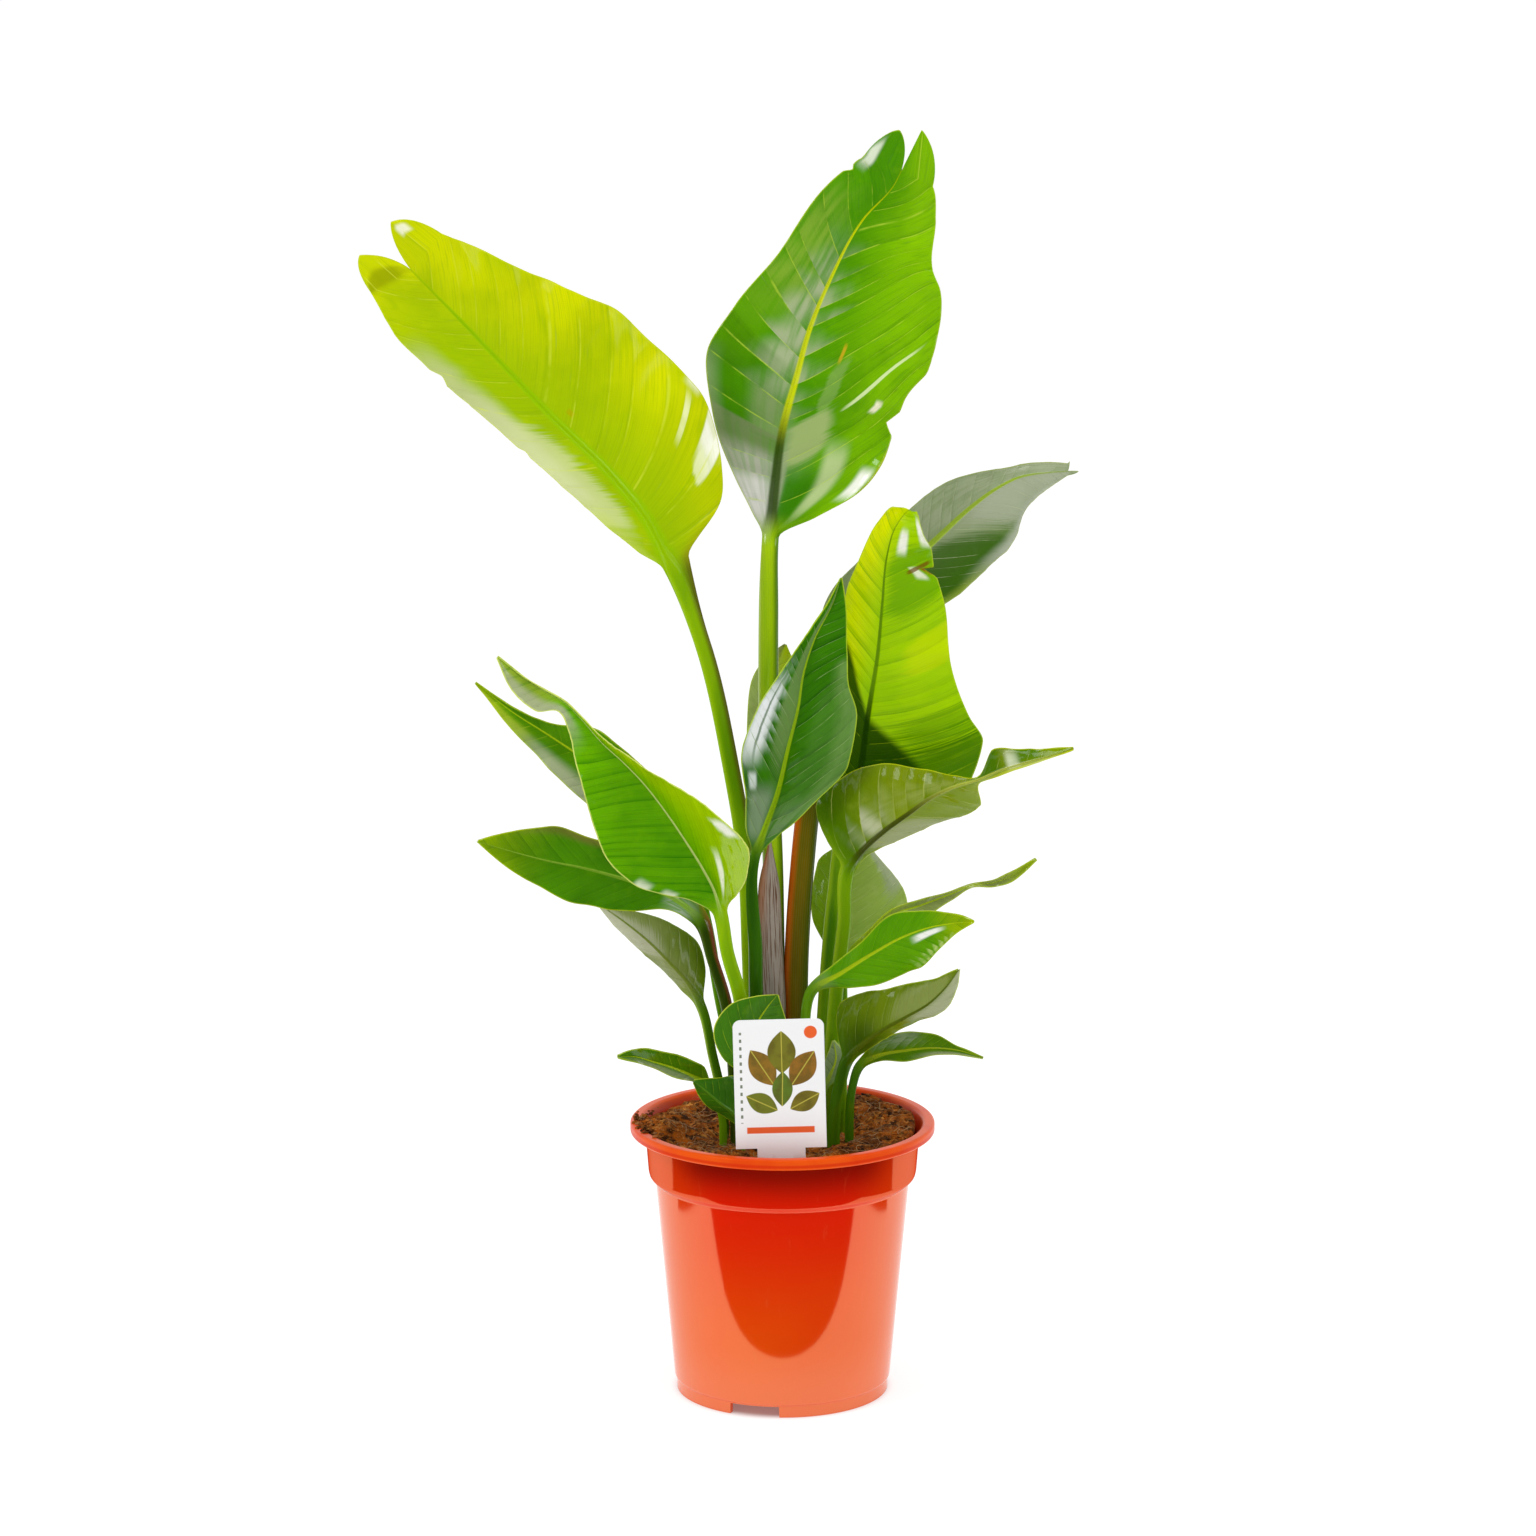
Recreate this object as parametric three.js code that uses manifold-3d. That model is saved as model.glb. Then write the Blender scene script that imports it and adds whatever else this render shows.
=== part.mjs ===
// A bird of paradise houseplant in a plastic nursery pot, with a plant label.
// Millimetres, +Z up. The origin is the middle of the pot's foot on the floor and the front is -Y.
import * as THREE from "three";
import { mergeVertices } from "three/addons/utils/BufferGeometryUtils.js";
import Module from "manifold-3d";

const wasm = await Module();
wasm.setup();

// The pot: a 24 cm round nursery pot with a banded rim, a collar and a tapering body.
const POT_HEIGHT = 218;
const RIM_RADIUS = 120;
const RIM_BAND = 9;
const RIM_MOUTH = 111;
const COLLAR_TOP = 108;
const COLLAR_BOTTOM = 105.7;
const COLLAR_HEIGHT = 34;
const SHOULDER = POT_HEIGHT - RIM_BAND - COLLAR_HEIGHT;
const STEP_RISE = 2;
const STEP_FALL = 6;
const MOUTH_BOTTOM = POT_HEIGHT - RIM_BAND - 3;
const BODY_TOP = 100.2;
const BODY_BOTTOM = 85.5;
const FOOT_RADIUS = 83.8;
const FOOT_HEIGHT = 10;
const WALL = 2.2;
const POT_SEGMENTS = 40;
const FOOT_WALL = 4;
const FOOT_NOTCH = 40;
const NOTCHES = 3;
const NOTCH_TURN = -15.5;
const PAD_RADIUS = 13;
const DRAIN_RADIUS = 5;
const DRAIN_RING = 55;
const DRAINS = 9;

// The soil, and the clearance that it keeps to the pot and to the stalks.
const SOIL_TOP = 204;
const SOIL_FLOOR = FOOT_HEIGHT + WALL + 0.4;
const CLEARANCE = 0.4;
const SOIL_RINGS = 4;
const SOIL_GAP = 0.7;

// The label: a card on a stake pushed into the soil behind the front rim.
const LABEL = { width: 70, height: 102, bottom: 221, thickness: 0.9, corner: 6, y: -95, x: -2.4, lean: -1.5 };
const STAKE = { width: 37, depth: 176 };

// Leaves are laid out on an upright drawing plane through the pot's axis, as seen by somebody
// who stands in front. Each point then moves along the line of sight to its own depth.
const VIEWER = { x: -11.4, distance: 3776, height: 1246 };

// A blade's thickness, the waves along its edge, and the stretch in which a stalk spreads out.
const EDGE_THICKNESS = 0.8;
const WAVE_HEIGHT = 1.6;
const WAVE_LENGTH = 9;
const SPREAD_START = -12;
const SPREAD_END = 22;

// A leaf is a list of stations from the soil to the tip. A stalk station is [x, z, depth].
// A blade station is [x, z, depth, left, right], with the spread of each half across the rib.
// fold is each half's angle towards the viewer and cup is how much it turns on towards its edge.
const LEAVES = [
  {
    name: "leaf_upper_left",
    stalk: [[-20, 186, 6], [-22, 250, 6], [-25, 350, 8], [-29, 430, 8], [-40, 500, 0], [-62.5, 600, -10]],
    stalkHalf: [7.5, 6],
    blade: [
      [-86, 660, -18, 7, 15], [-94, 675, -22, 19, 50], [-103, 693, -27, 28, 67], [-131, 729, -38, 35, 90],
      [-180, 778, -56, 38, 89], [-221, 822, -74, 45, 68], [-251, 854, -88, 47, 51], [-284, 888, -104, 36, 34],
    ],
    fold: [-16, -12],
    cup: [-26, -22],
    lobes: [[32, 21], [36, 14]],
    halfPoints: 4,
  },
  {
    name: "leaf_top",
    stalk: [[-6, 186, 12], [-6, 250, 12], [-7, 400, 16], [-11, 540, 20], [-11, 620, 22]],
    stalkHalf: [8.5, 7.5],
    blade: [
      [-8, 682, 20, 7, 6], [-5, 700, 21, 19, 30], [-3, 724, 23, 34, 62], [0, 764, 28, 55, 82],
      [9, 808, 34, 70, 87], [20, 841, 38, 61, 97], [35, 878, 42, 46, 93], [61, 926, 46, 39, 70],
      [85, 953, 46, 34, 38], [90, 963, 44, 31, 27],
    ],
    fold: [16, 10],
    cup: [-18, -14],
    lobes: [[29, 15], [36, 0]],
    halfPoints: 4,
  },
  {
    name: "leaf_back_right",
    stalk: [[12, 186, 8], [11, 250, 8], [11, 350, 10], [16, 430, 18], [26, 520, 36]],
    stalkHalf: [10, 9],
    blade: [
      [36, 598, 52, 8, 8], [46, 614, 57, 18, 14], [66, 632, 63, 26, 26], [92, 655, 71, 28, 42],
      [118, 680, 80, 30, 48], [146, 706, 88, 25, 48], [162, 718, 92, 17, 43], [181, 728, 96, 9, 28],
      [205, 732, 100, 8, 13], [219, 733, 102, 6, 4],
    ],
    fold: [-20, -16],
    cup: [-14, -14],
    lobes: [[2, 8], [9, 1]],
    halfPoints: 4,
  },
  {
    name: "leaf_right",
    stalk: [[30, 186, 8], [31, 250, 8], [35, 330, 8], [41, 400, 9]],
    stalkHalf: [6.5, 6],
    blade: [
      [50, 462, 14, 6, 6], [57, 482, 18, 18, 54], [61, 502, 22, 25, 86], [65, 534, 25, 30, 92],
      [68, 554, 26, 30, 78], [73, 586, 27, 27, 59], [77, 631, 26, 29, 49], [80, 665, 21, 20, 37],
      [86, 688, 12, 14, 29], [93, 699, 2, 12, 16], [97, 703, -8, 5, 6],
    ],
    fold: [10, 6],
    cup: [-26, -12],
    halfPoints: 4,
  },
  {
    name: "leaf_centre",
    stalk: [[-19, 186, -16], [-20, 250, -16], [-21, 350, -16]],
    stalkHalf: [5.5, 5.5],
    blade: [
      [-21, 432, -20, 4, 4], [-15, 450, -23, 14, 12], [-5, 478, -27, 24, 27], [4, 516, -32, 35, 48],
      [12, 549, -37, 31, 46], [16, 575, -40, 18, 36], [25, 603, -44, 8, 27], [39, 631, -48, 4, 11],
      [45, 650, -50, 1, 1],
    ],
    fold: [38, 20],
    cup: [-10, -22],
    halfPoints: 4,
  },
  {
    name: "leaf_right_level",
    stalk: [[37, 186, -11], [38, 250, -11], [42, 320, -12], [48, 375, -16]],
    stalkHalf: [6, 5],
    blade: [
      [52, 420, -26, 7, 5], [60, 432, -34, 48, 7], [79, 450, -46, 46, 16], [98, 464, -57, 38, 23],
      [116, 477, -67, 20, 30], [135, 486, -77, 8, 26], [152, 491, -84, 2, 3], [168, 498, -90, 15, 4],
      [190, 505, -98, 9, 4], [208, 510, -104, 5, 2], [226, 516, -110, 1, 1],
    ],
    fold: [-20, -30],
    cup: [-26, -20],
    halfPoints: 4,
  },
  {
    name: "leaf_left_folded",
    stalk: [[-26, 186, -30], [-28, 250, -30], [-34, 320, -32], [-43, 352, -34]],
    stalkHalf: [6, 5],
    blade: [
      [-48, 384, -38, 6, 5], [-53, 402, -42, 18, 16], [-62, 420, -48, 32, 32], [-76, 443, -56, 50, 45],
      [-92, 467, -64, 55, 36], [-108, 488, -72, 50, 19], [-124, 505, -80, 41, 9], [-140, 520, -87, 27, 5],
      [-158, 541, -96, 12, 2], [-169, 552, -101, 8, 1.5], [-184, 561, -106, 16, 1.5], [-203, 573, -112, 12, 1.5],
      [-221, 588, -118, 1, 1],
    ],
    fold: [14, 48],
    cup: [16, 10],
    halfPoints: 4,
  },
  {
    name: "leaf_left_behind",
    stalk: [[-36, 186, -8], [-37, 250, -8], [-50, 320, -4], [-60, 380, 2]],
    stalkHalf: [4.5, 4],
    blade: [
      [-72, 425, 6, 4, 4], [-98, 458, 12, 24, 24], [-126, 485, 18, 26, 26], [-152, 506, 24, 24, 28],
      [-184, 528, 31, 17, 10], [-210, 545, 36, 9, 4], [-238, 568, 41, 1, 1],
    ],
    fold: [16, 20],
    cup: [10, 10],
  },
  {
    name: "leaf_left_level",
    stalk: [[-36, 186, -24], [-38, 250, -24], [-45, 315, -24], [-55, 348, -23]],
    stalkHalf: [4.8, 4.5],
    blade: [
      [-64, 378, -21, 6, 7], [-84, 396, -26, 11, 14], [-106, 406, -32, 20, 22], [-130, 414, -40, 27, 26],
      [-156, 421, -48, 28, 25], [-185, 427, -57, 21, 29], [-211, 434, -66, 13, 19], [-238, 442, -76, 1, 1],
    ],
    fold: [14, 18],
    cup: [-20, -22],
  },
  {
    name: "leaf_left_low",
    stalk: [[-46, 186, -8], [-47, 230, -8], [-55, 270, -9]],
    stalkHalf: [4, 3.6],
    blade: [
      [-65, 312, -12, 4, 4], [-74, 328, -12, 9, 16], [-87, 343, -11, 10.5, 24], [-104, 361, -8, 12, 19],
      [-123, 377, -4, 11, 10], [-145, 393, 0, 1, 1],
    ],
    fold: [-40, -30],
    cup: [-20, -24],
  },
  {
    name: "leaf_left_small",
    stalk: [[-47, 186, -30], [-48, 222, -30]],
    stalkHalf: [3, 3],
    blade: [
      [-58, 246, -32, 3, 3], [-70, 253, -35, 4, 12], [-86, 260, -39, 7, 12], [-102, 265, -43, 5, 11],
      [-116, 269, -47, 4, 8], [-130, 269, -50, 1, 1],
    ],
    fold: [22, 26],
    cup: [-10, -14],
  },
  {
    name: "leaf_front_cup",
    stalk: [[-33, 186, -56], [-32, 204, -56]],
    stalkHalf: [3.4, 3.4],
    blade: [
      [-31, 212, -59, 4, 4], [-38, 222, -64, 8, 16], [-49, 231, -68, 10, 22], [-59, 240, -71, 8, 12],
      [-70, 249, -73, 1, 1],
    ],
    fold: [-20, -20],
    cup: [-24, -24],
  },
  {
    name: "leaf_front_round",
    stalk: [[-16, 186, -52], [-18, 222, -52]],
    stalkHalf: [3.4, 3.2],
    blade: [
      [-29, 255, -50, 4, 4], [-31, 268, -50, 17, 24], [-26, 283, -51, 29, 31], [-19, 298, -53, 25, 27],
      [-12, 309, -55, 14, 17], [-4, 319, -57, 1, 1],
    ],
    fold: [8, 12],
    cup: [-30, -30],
  },
  {
    name: "leaf_right_pale",
    stalk: [[43, 186, 20], [43, 250, 22], [41, 310, 27]],
    stalkHalf: [4, 3.8],
    blade: [
      [42, 350, 34, 4, 4], [44, 362, 38, 13, 16], [46, 380, 44, 23, 36], [49, 400, 51, 26, 53],
      [53, 420, 58, 26, 43], [57, 437, 63, 12, 18], [60, 448, 66, 1, 1],
    ],
    fold: [-12, -16],
    cup: [-22, -26],
  },
  {
    name: "leaf_right_twisted",
    stalk: [[48, 186, 6], [48, 240, 6], [48, 310, 6]],
    stalkHalf: [3.2, 2.8],
    blade: [
      [52, 350, 5, 3, 3], [69, 368, 8, 4, 5], [88, 384, 13, 5, 8], [108, 391, 19, 5, 8],
      [129, 399, 25, 3, 5], [149, 407, 31, 1.4, 1.4], [164, 409, 35, 3, 3], [176, 413, 38, 4, 4],
      [198, 428, 43, 1, 1],
    ],
    fold: [20, 30],
    cup: [10, 10],
  },
  {
    name: "leaf_right_glossy",
    stalk: [[12, 186, -36], [12, 240, -36], [17, 290, -36]],
    stalkHalf: [4, 3.8],
    blade: [
      [24, 323, -38, 5, 4], [45, 336, -44, 9, 13], [70, 352, -54, 13, 25], [95, 366, -66, 20, 27],
      [118, 374, -76, 14, 18], [137, 377, -84, 7, 7], [150, 378, -90, 1, 1],
    ],
    fold: [10, 14],
    cup: [-10, -16],
  },
  {
    name: "leaf_right_low",
    stalk: [[40, 186, -38], [41, 222, -38], [45, 246, -39]],
    stalkHalf: [5.2, 4.6],
    blade: [
      [51, 266, -43, 5, 5], [62, 278, -52, 31, 8], [78, 290, -62, 28, 8], [97, 301, -72, 21, 10],
      [115, 312, -82, 16, 14], [128, 325, -89, 9, 9], [138, 339, -95, 1, 1],
    ],
    fold: [-20, -30],
    cup: [-30, -20],
  },
  {
    name: "leaf_right_lowest",
    stalk: [[53, 186, -22], [53, 222, -22], [55, 244, -22]],
    stalkHalf: [3.6, 3.2],
    blade: [
      [62, 263, -22, 4, 4], [76, 270, -24, 11, 5], [97, 274, -28, 15, 8], [120, 276, -32, 12, 6],
      [139, 274, -35, 3, 4], [158, 268, -38, 1, 1],
    ],
    fold: [16, 20],
    cup: [-24, -10],
  },
  {
    name: "leaf_right_scrap",
    stalk: [[27, 186, -25], [28, 225, -25]],
    stalkHalf: [3, 2.6],
    blade: [[33, 244, -25, 3, 3], [38, 255, -26, 9, 7], [42, 267, -26, 8, 8], [40, 282, -26, 1, 1]],
    fold: [-8, -8],
    cup: [-8, -8],
  },
  {
    name: "leaf_back_centre",
    stalk: [[0, 186, 34], [0, 250, 34], [-6, 400, 38]],
    stalkHalf: [5, 4.5],
    blade: [
      [-14, 470, 42, 4, 4], [-14, 500, 50, 13, 12], [-12, 535, 59, 16, 16], [-9, 562, 67, 17, 18],
      [-3, 585, 73, 10, 13], [2, 598, 77, 1, 1],
    ],
    fold: [12, 12],
    cup: [-16, -16],
  },
  {
    name: "dry_sheath",
    stalk: [[-5, 186, -3], [-5, 206, -3]],
    stalkHalf: [2.2, 1.6],
    blade: [
      [-6, 240, -3, 9, 9], [-7, 320, -2, 9, 9], [-9, 360, 0, 10, 9], [-10, 400, 1, 9, 8], [-10, 441, 3, 1, 1],
    ],
    fold: [-12, -12],
    cup: [-30, -30],
  },
];

const radians = (degrees) => (degrees * Math.PI) / 180;
const mix = (a, b, share) => a + (b - a) * share;
const smooth = (share) => share * share * (3 - 2 * share);
const between = (value, low, high) => Math.min(Math.max((value - low) / (high - low), 0), 1);

// A point of the drawing plane, moved along the viewer's line of sight to its depth.
function seen([x, z, depth]) {
  const scale = 1 + depth / VIEWER.distance;
  return new THREE.Vector3(
    VIEWER.x + (x - VIEWER.x) * scale,
    depth,
    VIEWER.height + (z - VIEWER.height) * scale,
  );
}

// A closed geometry from shared points and triangles.
function geometryOf(points, triangles) {
  const geometry = new THREE.BufferGeometry();
  geometry.setAttribute("position", new THREE.Float32BufferAttribute(points, 3));
  geometry.setIndex(triangles);
  geometry.computeVertexNormals();
  return geometry;
}

function solidOf(geometry) {
  const bare = geometry.clone();
  bare.deleteAttribute("normal");
  bare.deleteAttribute("uv");
  const merged = mergeVertices(bare, 1e-3);
  return new wasm.Manifold(
    new wasm.Mesh({
      numProp: 3,
      vertProperties: merged.attributes.position.array,
      triVerts: new Uint32Array(merged.index.array),
    }),
  );
}

function geometryFrom(solid) {
  const mesh = solid.getMesh();
  return geometryOf(Array.from(mesh.vertProperties), Array.from(mesh.triVerts));
}

// Smooth values through a leaf's stations, by distance along the leaf.
function smoothThrough(stations) {
  const at = [0];
  for (let i = 1; i < stations.length; i++) {
    at.push(at[i - 1] + stations[i].place.distanceTo(stations[i - 1].place));
  }
  const numbers = stations.map((s) => [...s.place.toArray(), s.left, s.right]);
  const slope = (i, c) => (numbers[i + 1][c] - numbers[i][c]) / (at[i + 1] - at[i]);
  const tangent = (i, c) => {
    if (i === 0) return slope(0, c);
    if (i === numbers.length - 1) return slope(i - 1, c);
    const before = at[i] - at[i - 1];
    const after = at[i + 1] - at[i];
    const mean = (slope(i - 1, c) * after + slope(i, c) * before) / (before + after);
    if (c < 3) return mean;
    // The widths keep between their stations' values, so that a stalk isn't pinched under its blade.
    if (slope(i - 1, c) * slope(i, c) <= 0) return 0;
    const steepest = 2 * Math.min(Math.abs(slope(i - 1, c)), Math.abs(slope(i, c)));
    return Math.sign(mean) * Math.min(Math.abs(mean), steepest);
  };
  return (i, share) => {
    const span = at[i + 1] - at[i];
    const [a, b] = [share * share, share * share * share];
    const values = numbers[i].map(
      (value, c) =>
        (2 * b - 3 * a + 1) * value +
        (b - 2 * a + share) * span * tangent(i, c) +
        (3 * a - 2 * b) * numbers[i + 1][c] +
        (b - a) * span * tangent(i + 1, c),
    );
    return { along: at[i] + share * span, values };
  };
}

// The rows of a leaf: place on the rib, spreads, and how far the row is blade instead of stalk.
function rowsOf(leaf) {
  const stalkCount = leaf.stalk.length;
  const stations = [
    ...leaf.stalk.map((s, i) => {
      const half = mix(leaf.stalkHalf[0], leaf.stalkHalf[1], i / stalkCount);
      return { place: seen(s), left: half, right: half };
    }),
    ...leaf.blade.map((s) => ({ place: seen(s), left: s[3], right: s[4] })),
  ];
  const curve = smoothThrough(stations);
  const rows = [];
  for (let i = 0; i < stations.length - 1; i++) {
    const count = i < 2 ? 1 : 2;
    for (let k = 0; k < count; k++) rows.push({ ...curve(i, k / count), index: i + k / count });
  }
  const last = stations.length - 2;
  rows.push({ ...curve(last, 1), index: last + 1 });
  const end = rows.at(-1).along;
  const bladeStart = rows.find((row) => row.index >= stalkCount).along;
  for (const row of rows) {
    row.place = new THREE.Vector3(...row.values.slice(0, 3));
    row.left = Math.max(row.values[3], 0.5);
    row.right = Math.max(row.values[4], 0.5);
    row.flat = smooth(between(row.along, bladeStart + SPREAD_START, bladeStart + SPREAD_END));
    row.run = between(row.along, bladeStart, end);
  }
  rows.forEach((row, i) => {
    const before = rows[Math.max(i - 1, 0)].place;
    const after = rows[Math.min(i + 1, rows.length - 1)].place;
    row.tangent = after.clone().sub(before).normalize();
    row.across = new THREE.Vector3(row.tangent.z, 0, -row.tangent.x).normalize();
    row.back = row.tangent.clone().cross(row.across);
  });
  return rows;
}

// One row's section: points from the left edge to the right edge, each with a front and a back.
function sectionOf(leaf, row, grow) {
  const count = leaf.halfPoints ?? 3;
  const shares = count === 4 ? [0, 0.12, 0.4, 0.7, 1] : [0, 0.2, 0.6, 1];
  const stem = mix(leaf.stalkHalf[0], leaf.stalkHalf[1], between(row.index, 0, leaf.stalk.length));
  const ribHalf = mix(stem, mix(stem * 0.55, 0.6, row.run), row.flat) + grow;
  const ribDepth = mix(stem * 0.85, mix(stem * 0.5, 0.4, row.run), row.flat) + grow;
  const facing = leaf.fold[0] + leaf.fold[1] < 0 ? -1 : 1;
  const halfOf = (side, spread, fold, cup) => {
    const angle = (share) => radians((fold + cup * share) * row.flat);
    let run = 0;
    for (let i = 1; i < shares.length; i++) {
      run += (shares[i] - shares[i - 1]) * Math.cos(angle((shares[i] + shares[i - 1]) / 2));
    }
    const length = (spread + grow) / run;
    const points = [];
    let [out, front] = [0, 0];
    shares.forEach((share, i) => {
      if (i > 0) {
        const step = (share - shares[i - 1]) * length;
        const turn = angle((share + shares[i - 1]) / 2);
        out += step * Math.cos(turn);
        front += step * Math.sin(turn);
      }
      const swing = Math.sin(row.along / WAVE_LENGTH + side);
      const wave = row.flat * WAVE_HEIGHT * share * share * swing;
      const round = Math.sqrt(Math.max(1 - (share * length / ribHalf) ** 2, 0));
      const edge = EDGE_THICKNESS / 2 + grow;
      const bulge = Math.max(ribDepth - edge, 0) * round;
      const upper = edge + bulge * (1 - row.flat);
      const under = edge + bulge;
      const turn = angle(share);
      const middle = row.place
        .clone()
        .addScaledVector(row.across, side * out)
        .addScaledVector(row.back, -front - wave);
      const normal = row.across
        .clone()
        .multiplyScalar(side * Math.sin(turn))
        .addScaledVector(row.back, Math.cos(turn));
      const [near, far] = facing > 0 ? [upper, under] : [under, upper];
      points.push({
        front: middle.clone().addScaledVector(normal, -near),
        back: middle.clone().addScaledVector(normal, far),
      });
    });
    return points;
  };
  const left = halfOf(-1, row.left, leaf.fold[0], leaf.cup[0]);
  const right = halfOf(1, row.right, leaf.fold[1], leaf.cup[1]);
  return [...left.slice(1).reverse(), ...right];
}

// The split end of a large leaf: each half runs on to its own tip, with a notch at the rib.
function lobeSections(leaf, row, section) {
  const middle = (section.length - 1) / 2;
  const sections = [];
  for (const share of [0.5, 1]) {
    sections.push(
      section.map((point, i) => {
        const side = i < middle ? 0 : 1;
        const [forward, across] = leaf.lobes[side];
        const half = side ? row.right : row.left;
        const out = Math.abs(i - middle) / middle;
        const peak = 0.5;
        const rise = out < peak ? out / peak : (1 - out) / (1 - peak);
        const wanted = out < peak ? mix(0, across, rise) : mix(half, across, rise);
        const start = point.front.clone().sub(row.place).dot(row.across) * (side ? 1 : -1);
        const move = row.tangent
          .clone()
          .multiplyScalar(forward * rise * share)
          .addScaledVector(row.across, (side ? 1 : -1) * (wanted - start) * share);
        return { front: point.front.clone().add(move), back: point.back.clone().add(move) };
      }),
    );
  }
  return sections;
}

// A closed body through sections, with both faces split into triangles alike.
function loft(sections) {
  const across = sections[0].length;
  const points = [];
  for (const section of sections) {
    for (const p of section) points.push(...p.front.toArray());
    for (const p of section) points.push(...p.back.toArray());
  }
  const front = (row, i) => row * 2 * across + i;
  const back = (row, i) => front(row, i) + across;
  const triangles = [];
  const quad = (a, b, c, d) => triangles.push(a, b, c, a, c, d);
  const last = sections.length - 1;
  for (let r = 0; r < last; r++) {
    for (let i = 0; i < across - 1; i++) {
      quad(front(r, i), front(r, i + 1), front(r + 1, i + 1), front(r + 1, i));
      triangles.push(back(r, i), back(r + 1, i + 1), back(r, i + 1));
      triangles.push(back(r, i), back(r + 1, i), back(r + 1, i + 1));
    }
    quad(back(r, 0), front(r, 0), front(r + 1, 0), back(r + 1, 0));
    quad(front(r, across - 1), back(r, across - 1), back(r + 1, across - 1), front(r + 1, across - 1));
  }
  for (let i = 0; i < across - 1; i++) {
    quad(front(0, i), back(0, i), back(0, i + 1), front(0, i + 1));
    quad(front(last, i), front(last, i + 1), back(last, i + 1), back(last, i));
  }
  return geometryOf(points, triangles);
}

function leafGeometry(leaf) {
  const rows = rowsOf(leaf);
  const sections = rows.map((row) => sectionOf(leaf, row, 0));
  if (leaf.lobes) sections.push(...lobeSections(leaf, rows.at(-1), sections.at(-1)));
  return loft(sections);
}

// The plain hole that a stalk stands in: its lowest stretch, a little larger all round.
function stalkHole(leaf) {
  const rows = rowsOf(leaf).slice(0, 3);
  rows[0].place = rows[0].place.clone().addScaledVector(rows[0].tangent, -CLEARANCE);
  return solidOf(loft(rows.map((row) => sectionOf(leaf, row, CLEARANCE))));
}

// The pot's outline as [radius, height], from the middle of its base, up the outside and down inside.
function potProfile() {
  const line = [
    [0, 0],
    [PAD_RADIUS, 0],
    [PAD_RADIUS + 2, FOOT_HEIGHT],
    [FOOT_RADIUS - FOOT_WALL, FOOT_HEIGHT],
    [FOOT_RADIUS - FOOT_WALL, 0],
    [FOOT_RADIUS, 0],
    [FOOT_RADIUS, FOOT_HEIGHT - 1],
    [BODY_BOTTOM, FOOT_HEIGHT + 1],
    [BODY_TOP, SHOULDER - 4],
    [COLLAR_BOTTOM - 1.6, SHOULDER - 1],
    [COLLAR_BOTTOM, SHOULDER + 1.5],
    [COLLAR_TOP, POT_HEIGHT - RIM_BAND - 1],
    [RIM_RADIUS - 2, POT_HEIGHT - RIM_BAND],
    [RIM_RADIUS, POT_HEIGHT - RIM_BAND + 1],
    [RIM_RADIUS, POT_HEIGHT - 1.6],
    [RIM_RADIUS - 1.6, POT_HEIGHT],
    [RIM_MOUTH + 1.5, POT_HEIGHT],
    [RIM_MOUTH - 0.5, POT_HEIGHT - 1.5],
    [COLLAR_TOP - WALL, MOUTH_BOTTOM],
    [COLLAR_BOTTOM - WALL, SHOULDER + STEP_RISE],
    [BODY_TOP - WALL, SHOULDER - STEP_FALL],
    [BODY_BOTTOM - WALL, FOOT_HEIGHT + WALL],
    [0, FOOT_HEIGHT + WALL],
  ];
  return line.map(([radius, height]) => new THREE.Vector2(radius, height));
}

function footNotch(turn) {
  const box = new THREE.BoxGeometry(FOOT_NOTCH, 6 * FOOT_WALL, 2 * (FOOT_HEIGHT - 0.5));
  box.translate(0, -FOOT_RADIUS, 0);
  box.rotateZ(radians(turn));
  return solidOf(box);
}

// Notches in the foot ring and a ring of drain holes in the base.
function potGeometry() {
  const lathe = new THREE.LatheGeometry(potProfile(), POT_SEGMENTS);
  lathe.rotateX(Math.PI / 2);
  let pot = solidOf(lathe);
  for (let i = 0; i < NOTCHES; i++) pot = pot.subtract(footNotch(NOTCH_TURN + (360 / NOTCHES) * i));
  for (let i = 0; i < DRAINS; i++) {
    const drain = new THREE.CylinderGeometry(DRAIN_RADIUS, DRAIN_RADIUS, 3 * WALL, 8);
    drain.rotateX(Math.PI / 2);
    const turn = radians(NOTCH_TURN + (360 / DRAINS) * (i + 0.5));
    drain.translate(DRAIN_RING * Math.sin(turn), -DRAIN_RING * Math.cos(turn), FOOT_HEIGHT);
    pot = pot.subtract(solidOf(drain));
  }
  return geometryFrom(pot);
}

// The soil's top: soft lumps, and a bank that rises to the back right.
function soilHeight(x, y) {
  const lumps = 2.2 * Math.sin(x / 13 + 1) * Math.cos(y / 17) + 1.4 * Math.sin(x / 6.5 - y / 8);
  const bank = (3 * (0.8 * y + 0.6 * x)) / RIM_MOUTH;
  return SOIL_TOP + lumps + bank;
}

// The soil's radius at a height, a small gap inside the pot's wall.
function soilRadius(z) {
  const inBody = z < SHOULDER;
  const low = inBody ? FOOT_HEIGHT + WALL : SHOULDER + STEP_RISE;
  const high = inBody ? SHOULDER - STEP_FALL : MOUTH_BOTTOM;
  const [from, to] = inBody ? [BODY_BOTTOM, BODY_TOP] : [COLLAR_BOTTOM, COLLAR_TOP];
  return mix(from, to, between(z, low, high)) - WALL - SOIL_GAP;
}

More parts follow.
